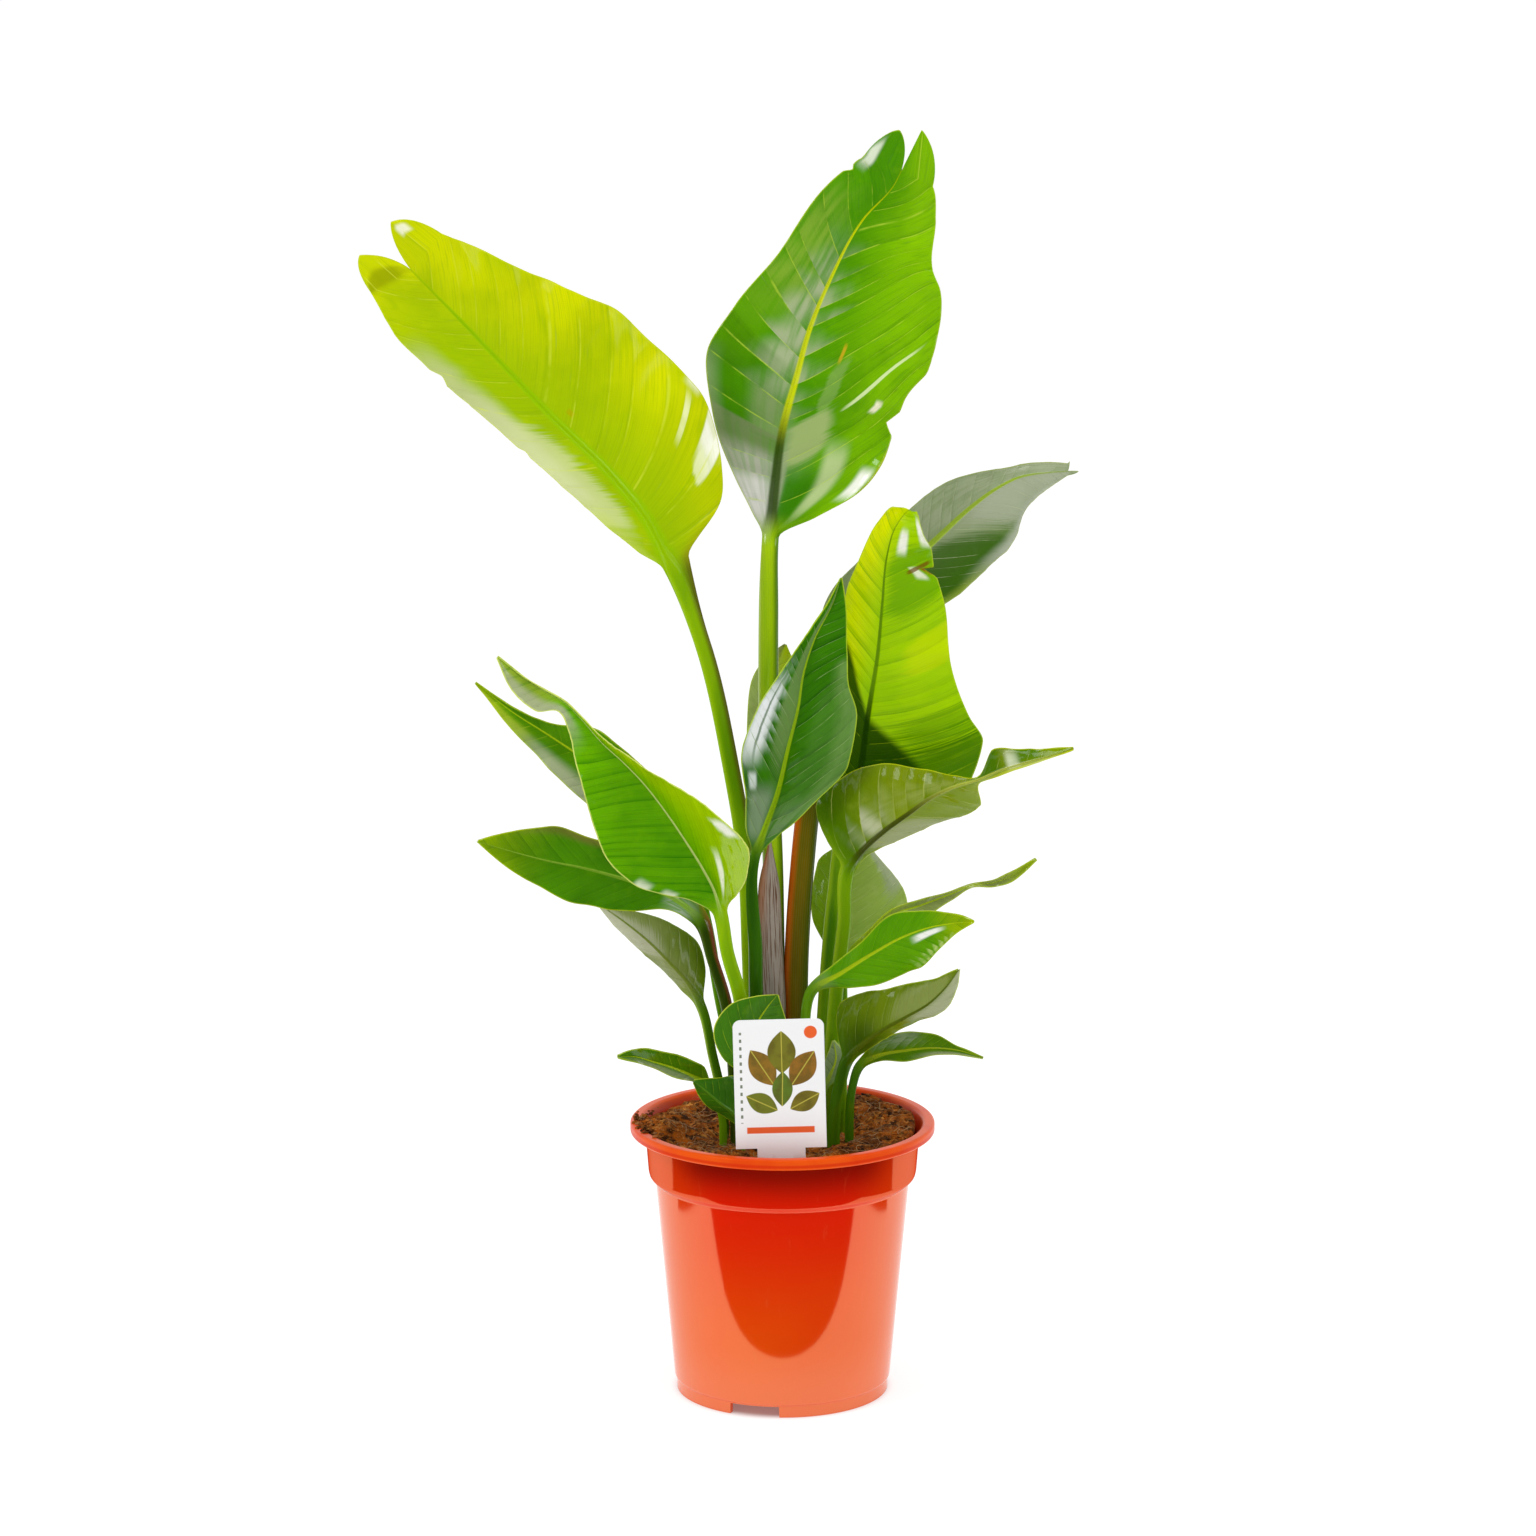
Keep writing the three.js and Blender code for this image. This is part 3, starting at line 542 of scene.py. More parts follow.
def makeLeaf(leaf):
    leaf = {**leafForm, **leaf}
    rows = leafRows(leaf)
    widest = max(max(row["left"], row["right"]) for row in rows)
    count = 10 + floor(widest / 5)
    sections = []
    for row in rows:
        left, right = halfSection(leaf, row, -1, count), halfSection(leaf, row, 1, count)
        sections.append(left[:0:-1] + right)
    if leaf["lobes"]:
        sections += lobeSections(leaf, rows[-1], sections[-1])
    upperFront = leaf["fold"][0] + leaf["fold"][1] >= 0
    kept = ["across", "fromRib", "fromEdge", "vein", "root", "run", "flat", "along", "wound"]
    points, values = [], {key: [] for key in kept + ["upper"]}
    for section in sections:
        for face in ("front", "back"):
            for point in section:
                points.append(point[face])
                for key in kept:
                    values[key].append(point[key])
                values["upper"].append(float((face == "front") == upperFront))
    faces = leafFaces(len(sections), len(sections[0]))
    piece = makePiece(leaf["name"], points, faces, values, replaces=leaf["name"])
    piece.data.materials.append(leafPaint(leaf) if leaf["look"] else sheathPaint())
    print(leaf["name"], len(faces), "faces")


# One leaf's colours. "turn" gives the colour of one end of the blade: [colour, start, along, across].
# "patches" are areas: [colour, from and to along the blade, from and to across it, strength, kind].
# A soft one has a plain soft border, one in panels breaks off at the side veins, and slanted and
# edged ones run along them. An oblique one is laid out like a turn: [colour, (start, along), across,
# strength, kind].
# The near-white and greyish patches are sheen painted on as colour, after the photograph. They are no
# reflections: they stay in place in any light and from any side, and show on both faces of a leaf.
def leafPaint(leaf):
    look = leaf["look"]
    p = Paint(leaf["name"])
    across, run, root, flat = p.read("across"), p.read("run"), p.read("root"), p.read("flat")
    fromRib, fromEdge, vein, upper = p.read("fromRib"), p.read("fromEdge"), p.read("vein"), p.read("upper")
    patches = p.clouds(14, 4)
    mottle = p.clouds(90, 3)
    phase = vein / bladeForm["veinUnit"]
    panel, inPanel = phase.whole(), phase.fraction()
    streaks = p.flatClouds(vein * 0.9, fromRib * 0.05)
    columns = p.flatClouds(across * 8 + panel * 2.3, run * 5 + panel * 0.6)
    tone = p.node("TexWhiteNoise", {"noise_dimensions": "1D"}, {"W": panel})

    colour = p.blend(look["under"], look["upper"], upper)
    # The turn colours are partly the leaf's own colour and partly painted light and shade.
    for key in ("turn", "turnToo"):
        if key in look:
            tint, start, byRun, byAcross = look[key]
            colour = p.blend(colour, tint, (start + byRun * run + byAcross * across).rise(0, 1))
    colour = p.blend(colour, look["deep"], patches.rise(0.45, 0.72) * 0.45)
    colour = p.blend(colour, look["deep"], streaks.rise(0.5, 0.75) * 0.3)
    colour = p.blend(colour, look["deep"], tone * 0.22 * flat)
    # Painted shade: the first half of each panel between side veins is darkened, as in a crease.
    bands = (1 - inPanel.rise(0, 0.5)) * (0.2 + 0.8 * tone.rise(0.1, 0.9)) * streaks.rise(0.3, 0.6) * flat
    colour = p.blend(colour, look["deep"], bands * look["bands"])
    colour = p.blend(colour, look["pale"], mottle.rise(0.55, 0.8) * 0.2)
    fine = (vein * 5.2 + mottle * 2).sine().rise(0.2, 1)
    colour = p.blend(colour, look["deep"], fine * 0.14 * flat)

    main = abs((vein * (pi / bladeForm["veinUnit"])).sine())  # 0 on each main side vein
    tooth = across.sign() * (inPanel - 0.5) * 0.3
    # Patches hold tints, painted sheen, painted highlights and painted shadows; each leaf says which.
    for tint, runs, widths, strength, kind in look["patches"]:
        if kind == "soft":
            tintAndPaintedLightArea = run.within(*runs) * across.within(*widths)
        elif kind == "panels":
            tintAndPaintedLightArea = run.within(*runs) * (across + tooth).within(*widths, 0.4)
            tintAndPaintedLightArea = tintAndPaintedLightArea * (0.3 + 0.7 * (columns + (tone - 0.5) * 0.3).rise(0.3, 0.66))
        elif kind == "oblique":
            tintAndPaintedLightArea = (runs[0] + runs[1] * run + widths * across).rise(0, 1)
        elif kind == "edged":
            ragged = 0.72 + 0.28 * columns.rise(0.35, 0.6)
            tintAndPaintedLightArea = root.within(*runs, 0.05) * across.within(*widths, 0.3) * ragged
        else:
            tintAndPaintedLightArea = root.within(*runs) * across.within(*widths, 0.35)
            tintAndPaintedLightArea = (tintAndPaintedLightArea * 1.5 + (streaks - 0.5) * 1.3 - 0.25).rise(0, 0.9)
        colour = p.blend(colour, tint, tintAndPaintedLightArea * strength * flat)
    onVein = (1 - main.rise(0.02, 0.11)) * fromRib.rise(1.2, 2.2) * fromEdge.rise(0, 6)
    broken = p.clouds(60, 2).rise(0.35, 0.62)
    colour = p.blend(colour, look["vein"], onVein * broken * look["veinShow"])
    ribWide = (1.2 - 0.6 * run) * look["ribWide"]
    rib = (1 - (fromRib / ribWide).rise(0.55, 1.15)) * flat * (1 - run.rise(0.8, 1) * 0.6)
    ribTint = p.blend(look["ribLow"], look["rib"], run.rise(*look["ribTurn"]))
    colour = p.blend(colour, ribTint, rib * look["ribShow"])
    margin = (1 - fromEdge.rise(0.2, 1.3)) * flat * look["marginShow"]
    colour = p.blend(colour, look["margin"], margin)

    stem = p.blend(look["stalk"], look["stalkDark"], p.clouds(9, 3, (4, 4, 0.8)).rise(0.4, 0.68))
    # Side colours: mostly painted light on the left and painted shade on the right, some a stalk's own tint.
    stem = p.blend(stem, look["stalkLeft"], (0 - across).rise(0.25, 0.95))
    stem = p.blend(stem, look["stalkRight"], across.rise(0.25, 0.95))
    lines = (across * 34 + p.clouds(12, 2, (1, 1, 0.2)) * 6).sine().rise(0.3, 1)
    stem = p.blend(stem, look["deep"], lines * 0.16)
    colour = p.blend(stem, colour, flat)
    brown = p.read("wound") * p.clouds(200, 2).rise(0.2, 0.5)
    colour = p.blend(colour, look["torn"], brown)

    p.set(baseColor=colour, roughness=0.5 + mottle * 0.1, specularIORLevel=0)
    p.set(coatWeight=look["coat"] * (0.5 + 0.5 * upper), coatRoughness=look["gloss"])
    height = (main.rise(0, 0.5) * 0.7 + fine * 0.12 + mottle * 0.12) * flat + lines * 0.12 * (1 - flat)
    p.bump(height, 0.0006, 0.6)
    return p.material


# What a look has where a leaf doesn't say otherwise.
leafLook = {
    "upper": srgb(76, 152, 2), "under": srgb(112, 140, 62), "deep": srgb(36, 94, 2),
    "pale": srgb(140, 190, 10), "vein": srgb(176, 208, 40), "rib": srgb(180, 206, 20),
    "margin": srgb(190, 210, 40),
    "stalk": srgb(104, 154, 6), "stalkDark": srgb(66, 116, 4), "torn": srgb(150, 84, 20),
    "bands": 0.25, "veinShow": 0.55, "marginShow": 0.65, "coat": 0.9, "gloss": 0.11,
    "ribShow": 0.9, "ribWide": 1, "ribTurn": (0.1, 0.4), "patches": [],
}


def lookOf(**changes):
    look = {**leafLook, **changes}
    for part, like in (("ribLow", "rib"), ("stalkLeft", "stalk"), ("stalkRight", "stalk")):
        look.setdefault(part, look[like])
    return look


upperLeftLeaf = {
    "name": "leaf_upper_left", "seed": 1.3, "panel": 25, "panelHeight": 0.9,
    "veinSlope": (0.3, 0.9, 0.0, 1.35), "veinCurve": (0.002, 0),
    "stalk": [(-20, 186, 6), (-22, 250, 6), (-25, 350, 8), (-29, 430, 8), (-40, 500, 0), (-62.5, 600, -10)],
    "stalkHalf": (7.5, 6),
    "blade": [
        (-86, 660, -18, 7, 15), (-94, 675, -22, 19, 50), (-103, 693, -27, 28, 67), (-131, 729, -38, 35, 90),
        (-180, 778, -56, 38, 89), (-221, 822, -74, 45, 68), (-251, 854, -88, 47, 51),
        (-284, 888, -104, 36, 34),
    ],
    "fold": (-16, -12), "cup": (-26, -22), "lobes": ((32, 21), (36, 14)),
    "nicks": [
        {"side": -1, "run": 0.72, "size": 0.03, "depth": 0.08},
        {"side": -1, "run": 0.45, "size": 0.02, "depth": 0.05},
    ],
    "look": lookOf(
        under=srgb(164, 196, 0), upper=srgb(120, 180, 10), deep=srgb(134, 172, 0), pale=srgb(204, 218, 6),
        vein=srgb(212, 224, 60), rib=srgb(150, 196, 0), margin=srgb(206, 214, 30),
        turn=(srgb(220, 224, 0), -0.12, 0.45, 0.85), turnToo=(srgb(206, 216, 0), -2.4, 3.2, 0),
        veinShow=0.5, gloss=0.13, coat=0.42, ribWide=2, ribShow=1,
        stalk=srgb(134, 178, 4), stalkDark=srgb(102, 152, 4),
        stalkRight=srgb(96, 96, 20), stalkLeft=srgb(150, 190, 10),
        # All but the last patch are painted sheen, painted highlights and painted shade on the lobe's fold.
        patches=[
            (srgb(214, 219, 174), (0.2, 0.64), (-1.4, -0.62), 0.85, "soft"),
            (srgb(208, 218, 150), (0.1, 0.46), (-1.2, -0.36), 0.7, "slanted"),
            (srgb(190, 200, 136), (0.5, 0.8), (-1.4, -0.7), 0.75, "soft"),
            (srgb(196, 214, 90), (-0.05, 0.22), (-1.4, -0.7), 0.5, "soft"),
            (srgb(250, 251, 232), (0.098, 0.132), (0.76, 1.2), 0.95, "edged"),
            (srgb(236, 242, 190), (0.1, 0.126), (0.64, 0.8), 0.7, "slanted"),
            (srgb(252, 252, 240), (0.26, 0.3), (0.98, 1.2), 0.8, "soft"),
            (srgb(240, 246, 186), (0.165, 0.176), (0.62, 0.88), 0.85, "edged"),
            (srgb(126, 136, 0), (1.0, 1.06), (-1.1, -0.1), 0.6, "soft"),
            (srgb(248, 248, 226), (1.075, 1.105), (0.42, 0.66), 0.8, "soft"),
            (srgb(196, 140, 0), (0.45, 0.47), (0.1, 0.14), 0.35, "soft"),
        ]),
}

topLeaf = {
    "name": "leaf_top", "seed": 2.1, "panel": 20, "panelHeight": 1.2,
    "veinSlope": (0.0, 1.1, 0.3, 1.45), "veinCurve": (-0.001, 0.003),
    "stalk": [(-6, 186, 12), (-6, 250, 12), (-7, 400, 16), (-11, 540, 20), (-11, 620, 22)],
    "stalkHalf": (8.5, 7.5),
    "blade": [
        (-10, 682, 20, 6, 7), (-8.5, 700, 21, 15.5, 33.5), (-6, 724, 23, 31, 65), (-0.5, 764, 28, 54.5, 82.5),
        (11, 808, 34, 72, 85), (20, 841, 38, 61, 97), (35, 878, 42, 46, 93), (61, 926, 46, 39, 70),
        (85, 953, 46, 34, 38), (90, 963, 44, 31, 27),
    ],
    "fold": (16, 10), "cup": (-18, -14), "lobes": ((29, 15), (36, 0)),
    "nicks": [
        {"side": 1, "run": 0.36, "size": 0.035, "depth": 0.09},
        {"side": -1, "run": 0.92, "size": 0.02, "depth": 0.1},
    ],
    "rolls": [{"side": 1, "runs": (0.02, 0.34), "turn": 46, "fromShare": 0.72}],
    "look": lookOf(
        upper=srgb(82, 154, 0), under=srgb(124, 150, 60), deep=srgb(44, 116, 0), pale=srgb(132, 190, 2),
        vein=srgb(186, 214, 60), rib=srgb(206, 216, 0), ribLow=srgb(48, 74, 0), ribTurn=(0.22, 0.36),
        veinShow=0.6, ribWide=1.15, turn=(srgb(140, 200, 0), -0.2, 0.45, 1.1),
        stalk=srgb(168, 204, 10), stalkDark=srgb(132, 182, 4),
        stalkRight=srgb(76, 120, 4), stalkLeft=srgb(160, 190, 40),
        # The greyish and pale patches are painted sheen, and the near-white ones are painted highlights,
        # save the small near-white spot out on the right, which marks a hole.
        patches=[
            (srgb(176, 186, 146), (0.34, 0.74), (-0.4, 0.03), 0.85, "panels"),
            (srgb(146, 178, 60), (0.56, 0.86), (-0.95, -0.35), 0.6, "panels"),
            (srgb(104, 162, 2), (0.42, 0.62), (-1.2, -0.5), 0.4, "soft"),
            (srgb(58, 112, 0), (0.24, 0.42), (-1.2, -0.2), 0.45, "edged"),
            (srgb(134, 152, 100), (0.24, 0.33), (-0.45, 0.02), 0.7, "edged"),
            (srgb(112, 130, 82), (0.19, 0.25), (-1.4, 0.02), 0.9, "edged"),
            (srgb(166, 171, 148), (-0.2, 0.2), (-1.4, 0.02), 1.0, "edged"),
            (srgb(212, 212, 202), (-0.2, 0.14), (-1.4, -0.1), 0.95, "edged"),
            (srgb(150, 168, 122), (0.25, 0.42), (-1.4, -0.9), 0.6, "soft"),
            (srgb(160, 178, 112), (0.165, 0.27), (0.06, 0.42), 0.85, "slanted"),
            (srgb(184, 204, 140), (0.06, 0.25), (0.44, 0.64), 0.9, "soft"),
            (srgb(54, 124, 0), (0.02, 0.17), (0.08, 0.44), 0.95, "soft"),
            (srgb(152, 164, 126), (-0.2, 0.24), (0.0, 0.1), 0.7, "soft"),
            (srgb(150, 178, 100), (0.27, 0.38), (0.28, 0.4), 0.4, "slanted"),
            (srgb(246, 248, 234), (0.12, 0.2), (0.82, 0.96), 0.95, "soft"),
            (srgb(176, 130, 40), (0.12, 0.26), (0.985, 1.1), 0.5, "soft"),
            (srgb(240, 246, 224), (0.96, 1.09), (-0.95, -0.72), 0.8, "soft"),
            (srgb(226, 240, 180), (0.244, 0.256), (0.56, 0.86), 0.75, "slanted"),
            (srgb(252, 246, 214), (0.375, 0.405), (0.76, 0.82), 0.9, "soft"),
            (srgb(206, 168, 30), (0.475, 0.525), (0.305, 0.33), 0.8, "soft"),
        ]),
}

backRightLeaf = {
    "name": "leaf_back_right", "seed": 3.7, "panel": 14, "panelHeight": 1.0,
    "veinSlope": (0.9, 1.2, 0.9, 1.2),
    "stalk": [(12, 186, 8), (11, 250, 8), (11, 350, 10), (16, 430, 18), (26, 520, 36)],
    "stalkHalf": (10, 9),
    "blade": [
        (36, 598, 52, 8, 8), (46, 614, 57, 18, 14), (66, 632, 63, 26, 26), (92, 655, 71, 28, 42),
        (118, 680, 80, 30, 48), (146, 706, 88, 25, 48), (162, 718, 92, 17, 43), (181, 728, 96, 9, 28),
        (205, 732, 100, 8, 13), (219, 733, 102, 6, 4),
    ],
    "fold": (-20, -16), "cup": (-14, -14), "lobes": ((2, 8), (9, 1)),
    "look": lookOf(
        under=srgb(150, 164, 124), deep=srgb(112, 134, 76), pale=srgb(176, 186, 152),
        vein=srgb(186, 196, 152), rib=srgb(160, 190, 40), margin=srgb(170, 184, 90),
        turn=(srgb(70, 114, 6), 0.2, -0.6, 1.2), veinShow=0.6, bands=0.5,
        stalk=srgb(116, 94, 4), stalkDark=srgb(84, 84, 4),
        stalkLeft=srgb(206, 92, 12), stalkRight=srgb(70, 84, 4),
        # The three greyish patches are painted sheen.
        patches=[
            (srgb(184, 190, 164), (0.3, 1.1), (-1.3, 0.0), 0.5, "panels"),
            (srgb(182, 188, 164), (0.58, 1.0), (0.0, 0.9), 0.7, "slanted"),
            (srgb(56, 100, 6), (0.16, 0.5), (0.04, 1.0), 0.85, "slanted"),
            (srgb(184, 190, 170), (0.55, 1.0), (0.84, 1.3), 0.8, "soft"),
            (srgb(170, 190, 70), (0.2, 0.55), (0.9, 1.3), 0.5, "soft"),
        ]),
}

rightLeaf = {
    "name": "leaf_right", "seed": 4.4, "veinSlope": (0.9, 1.1, -0.05, 0.8), "panel": 12, "panelHeight": 0.9,
    "stalk": [(30, 186, 8), (31, 250, 8), (35, 330, 8), (41, 400, 9)],
    "stalkHalf": (6.5, 6),
    "blade": [
        (50, 462, 14, 6, 6), (57, 482, 18, 18, 54), (61, 502, 22, 25, 86), (65, 534, 25, 30, 92),
        (68, 554, 26, 30, 78), (73, 586, 27, 27, 59), (77, 631, 26, 29, 49), (80, 665, 21, 20, 37),
        (86, 688, 12, 14, 29), (93, 699, 2, 12, 16), (97, 703, -8, 5, 6),
    ],
    "fold": (10, 6), "cup": (-26, -12),
    "nicks": [
        {"side": 1, "run": 0.76, "size": 0.02, "depth": 0.12},
        {"side": 1, "run": 0.765, "size": 0.013, "depth": 0.3, "brown": True},
    ],
    "look": lookOf(
        upper=srgb(176, 222, 0), under=srgb(140, 176, 40), deep=srgb(110, 174, 0), pale=srgb(200, 230, 0),
        # The dark low end of the rib (ribLow) is painted shadow, like the oblique patch below.
        vein=srgb(200, 226, 20), rib=srgb(96, 140, 6), ribLow=srgb(28, 62, 0), ribTurn=(0.3, 0.42),
        turn=(srgb(236, 242, 0), -0.4, 0.9, -0.9), veinShow=0.3, bands=0.6, gloss=0.13, coat=0.45,
        stalk=srgb(116, 160, 8), stalkLeft=srgb(150, 184, 30),
        # The near-white patches are painted highlights.
        # The oblique patch is a painted shadow cast by the leaf in front.
        patches=[
            (srgb(108, 170, 0), (0.58, 0.8), (0.06, 1.2), 0.8, "slanted"),
            (srgb(214, 232, 0), (0.4, 0.5), (0.4, 1.2), 0.5, "slanted"),
            (srgb(60, 116, 0), (-0.3, 0.195), (-0.2, 1.4), 0.85, "slanted"),
            (srgb(84, 146, 0), (0.2, 0.28), (0.3, 1.3), 0.5, "slanted"),
            (srgb(32, 72, 0), (8.33, -26), -6.26, 0.95, "oblique"),
            (srgb(252, 252, 240), (0.815, 0.9), (0.2, 0.4), 0.97, "soft"),
            (srgb(252, 252, 240), (0.87, 0.97), (0.74, 1.0), 0.97, "soft"),
            (srgb(248, 250, 226), (0.735, 0.77), (0.6, 0.82), 0.8, "soft"),
            (srgb(120, 88, 10), (0.7, 0.715), (0.46, 0.9), 0.85, "slanted"),
        ]),
}

centreLeaf = {
    "name": "leaf_centre", "seed": 5.2, "veinSlope": (1.0, 1.3, 1.0, 1.3), "panel": 11, "panelHeight": 0.8,
    "stalk": [(-19, 186, -16), (-20, 250, -16), (-21, 350, -16)],
    "stalkHalf": (5.5, 5.5),
    "blade": [
        (-21, 432, -20, 4, 4), (-15, 450, -23, 14, 12), (-5, 478, -27, 24, 27), (4, 516, -32, 35, 48),
        (12, 549, -37, 31, 46), (16, 575, -40, 18, 36), (25, 603, -44, 8, 27), (39, 631, -48, 4, 11),
        (45, 650, -50, 1, 1),
    ],
    "fold": (38, 20), "cup": (-10, -22),
    "look": lookOf(
        upper=srgb(60, 128, 2), under=srgb(110, 140, 70), deep=srgb(6, 72, 0), pale=srgb(88, 150, 30),
        vein=srgb(146, 178, 104), rib=srgb(164, 200, 16), margin=srgb(180, 208, 40),
        bands=0.75, veinShow=0.85, marginShow=0.9, stalk=srgb(56, 106, 6), stalkDark=srgb(36, 84, 4),
        # The patches are painted highlights and greyish painted sheen, one dark line parting the big
        # highlight.
        patches=[
            (srgb(236, 242, 240), (0.35, 0.66), (-1.0, -0.56), 0.6, "panels"),
            (srgb(242, 246, 246), (0.36, 0.6), (-1.0, -0.6), 0.95, "soft"),
            (srgb(56, 100, 44), (0.36, 0.64), (-0.78, -0.73), 0.75, "soft"),
            (srgb(226, 236, 232), (0.24, 0.3), (-0.86, -0.68), 0.9, "soft"),
            (srgb(150, 168, 140), (0.04, 0.24), (-0.9, -0.15), 0.7, "soft"),
            (srgb(128, 156, 92), (0.3, 1.05), (-0.42, -0.02), 0.6, "slanted"),
            (srgb(126, 160, 88), (0.08, 0.6), (0.72, 1.3), 0.6, "edged"),
            (srgb(122, 156, 84), (0.16, 0.5), (0.3, 0.9), 0.15, "slanted"),
            (srgb(128, 156, 110), (-0.1, 0.2), (0.15, 1.3), 0.7, "panels"),
        ]),
}

rightLevelLeaf = {
    "name": "leaf_right_level", "seed": 6.9, "panelHeight": 1.1, "veinSlope": (0.3, 0.7, 0.3, 0.7),
    "stalk": [(37, 186, -11), (38, 250, -11), (42, 320, -12), (48, 375, -16)],
    "stalkHalf": (6, 5),
    "blade": [
        (52, 420, -26, 7, 5), (60, 432, -34, 48, 7), (79, 450, -46, 46, 16), (98, 464, -57, 38, 23),
        (116, 477, -67, 20, 30), (135, 486, -77, 8, 26), (152, 491, -84, 2, 3), (168, 498, -90, 15, 4),
        (190, 505, -98, 9, 4), (208, 510, -104, 5, 2), (226, 516, -110, 1, 1),
    ],
    "fold": (-20, -30), "cup": (-26, -20),
    "look": lookOf(
        under=srgb(122, 142, 12), upper=srgb(50, 120, 8), deep=srgb(84, 112, 2), pale=srgb(158, 168, 60),
        vein=srgb(170, 180, 90), margin=srgb(206, 216, 10), veinShow=0.7,
        rib=srgb(176, 186, 70), ribLow=srgb(58, 64, 6), ribTurn=(0.3, 0.6), ribShow=0.85,
        turn=(srgb(62, 108, 0), 0.75, -2.6, -0.3), turnToo=(srgb(140, 168, 0), -5.2, 6.6, 0),
        stalk=srgb(116, 160, 4), stalkDark=srgb(84, 132, 2), stalkLeft=srgb(156, 190, 30),
        # The greyish patches and the pale one near the tip are painted sheen.
        patches=[
            (srgb(196, 198, 170), (0.09, 0.24), (-0.32, -0.03), 0.75, "panels"),
            (srgb(168, 178, 104), (0.2, 0.56), (-0.5, -0.1), 0.35, "panels"),
            (srgb(166, 172, 134), (0.12, 0.31), (0.1, 1.1), 0.6, "slanted"),
            (srgb(118, 142, 0), (0.38, 0.64), (0.08, 1.3), 0.9, "soft"),
            (srgb(52, 96, 0), (-0.2, 0.1), (-1.3, 0.4), 0.6, "soft"),
            (srgb(52, 104, 0), (0.62, 0.735), (-1.3, 0.6), 0.8, "soft"),
            (srgb(206, 216, 180), (0.755, 0.8), (-0.75, 0.3), 0.8, "soft"),
            (srgb(60, 116, 0), (0.79, 0.88), (-1.3, -0.1), 0.7, "soft"),
            (srgb(196, 208, 60), (0.66, 1.1), (0.3, 1.4), 0.75, "soft"),
        ]),
}

leftFoldedLeaf = {
    "name": "leaf_left_folded", "seed": 7.5, "panel": 8.5, "panelHeight": 0.8,
    "veinSlope": (0.75, 0.8, 2.2, 2.6),
    "stalk": [(-26, 186, -30), (-28, 250, -30), (-34, 320, -32), (-43, 352, -34)],
    "stalkHalf": (6, 5),
    "blade": [
        (-48, 384, -38, 6, 5), (-53, 402, -42, 18, 16), (-62, 420, -48, 32, 32), (-76, 443, -56, 50, 45),
        (-92, 467, -64, 55, 36), (-108, 488, -72, 50, 19), (-124, 505, -80, 41, 9), (-140, 520, -87, 27, 5),
        (-158, 541, -96, 12, 2), (-169, 552, -101, 8, 1.5), (-184, 561, -106, 16, 1.5),
        (-203, 573, -112, 12, 1.5), (-221, 588, -118, 1, 1),
    ],
    "fold": (14, 48), "cup": (16, 10),
    "look": lookOf(
        upper=srgb(112, 186, 0), under=srgb(140, 170, 70), deep=srgb(26, 116, 0), pale=srgb(140, 200, 2),
        vein=srgb(140, 198, 10), rib=srgb(206, 224, 130), margin=srgb(214, 228, 110),
        veinShow=0.3, marginShow=1, ribWide=0.5, coat=0.5, bands=0.7,
        turn=(srgb(180, 212, 0), -0.1, -0.2, 1.5), turnToo=(srgb(158, 184, 50), -5.6, 7.6, 0),
        stalk=srgb(146, 190, 6), stalkDark=srgb(116, 164, 4),
        # The near-white patches are painted highlights, and the grey one near the tip is painted sheen.
        patches=[
            (srgb(160, 198, 2), (-0.05, 0.6), (0.16, 1.3), 0.6, "soft"),
            (srgb(252, 252, 240), (0.265, 0.32), (0.72, 0.96), 0.97, "soft"),
            (srgb(250, 252, 230), (0.07, 0.2), (0.34, 0.44), 0.85, "soft"),
            (srgb(244, 248, 226), (0.125, 0.165), (-1.2, -0.88), 0.85, "soft"),
            (srgb(244, 248, 226), (0.2, 0.24), (-1.2, -0.88), 0.85, "soft"),
            (srgb(176, 182, 146), (0.7, 0.97), (-1.3, -0.42), 0.8, "soft"),
        ]),
}

leftBehindLeaf = {
    "name": "leaf_left_behind", "seed": 8.1,
    "stalk": [(-36, 186, -8), (-37, 250, -8), (-50, 320, -4), (-60, 380, 2)],
    "stalkHalf": (4.5, 4),
    "blade": [
        (-72, 425, 6, 4, 4), (-98, 458, 12, 24, 24), (-126, 485, 18, 26, 26), (-152, 506, 24, 24, 28),
        (-184, 528, 31, 17, 10), (-210, 545, 36, 9, 4), (-238, 568, 41, 1, 1),
    ],
    "fold": (16, 20), "cup": (10, 10),
    "look": lookOf(
        upper=srgb(92, 152, 4), deep=srgb(52, 112, 2), turnToo=(srgb(166, 192, 4), -3.2, 4.0, 0), coat=0.5,
        # The first, greyish patch is painted sheen.
        patches=[
            (srgb(190, 192, 160), (0.05, 0.74), (-1.4, -0.56), 0.75, "soft"),
            (srgb(176, 196, 40), (0.74, 0.96), (-1.3, -0.4), 0.6, "soft"),
            (srgb(58, 112, 4), (0.7, 0.95), (0.2, 1.2), 0.6, "soft"),
        ]),
}

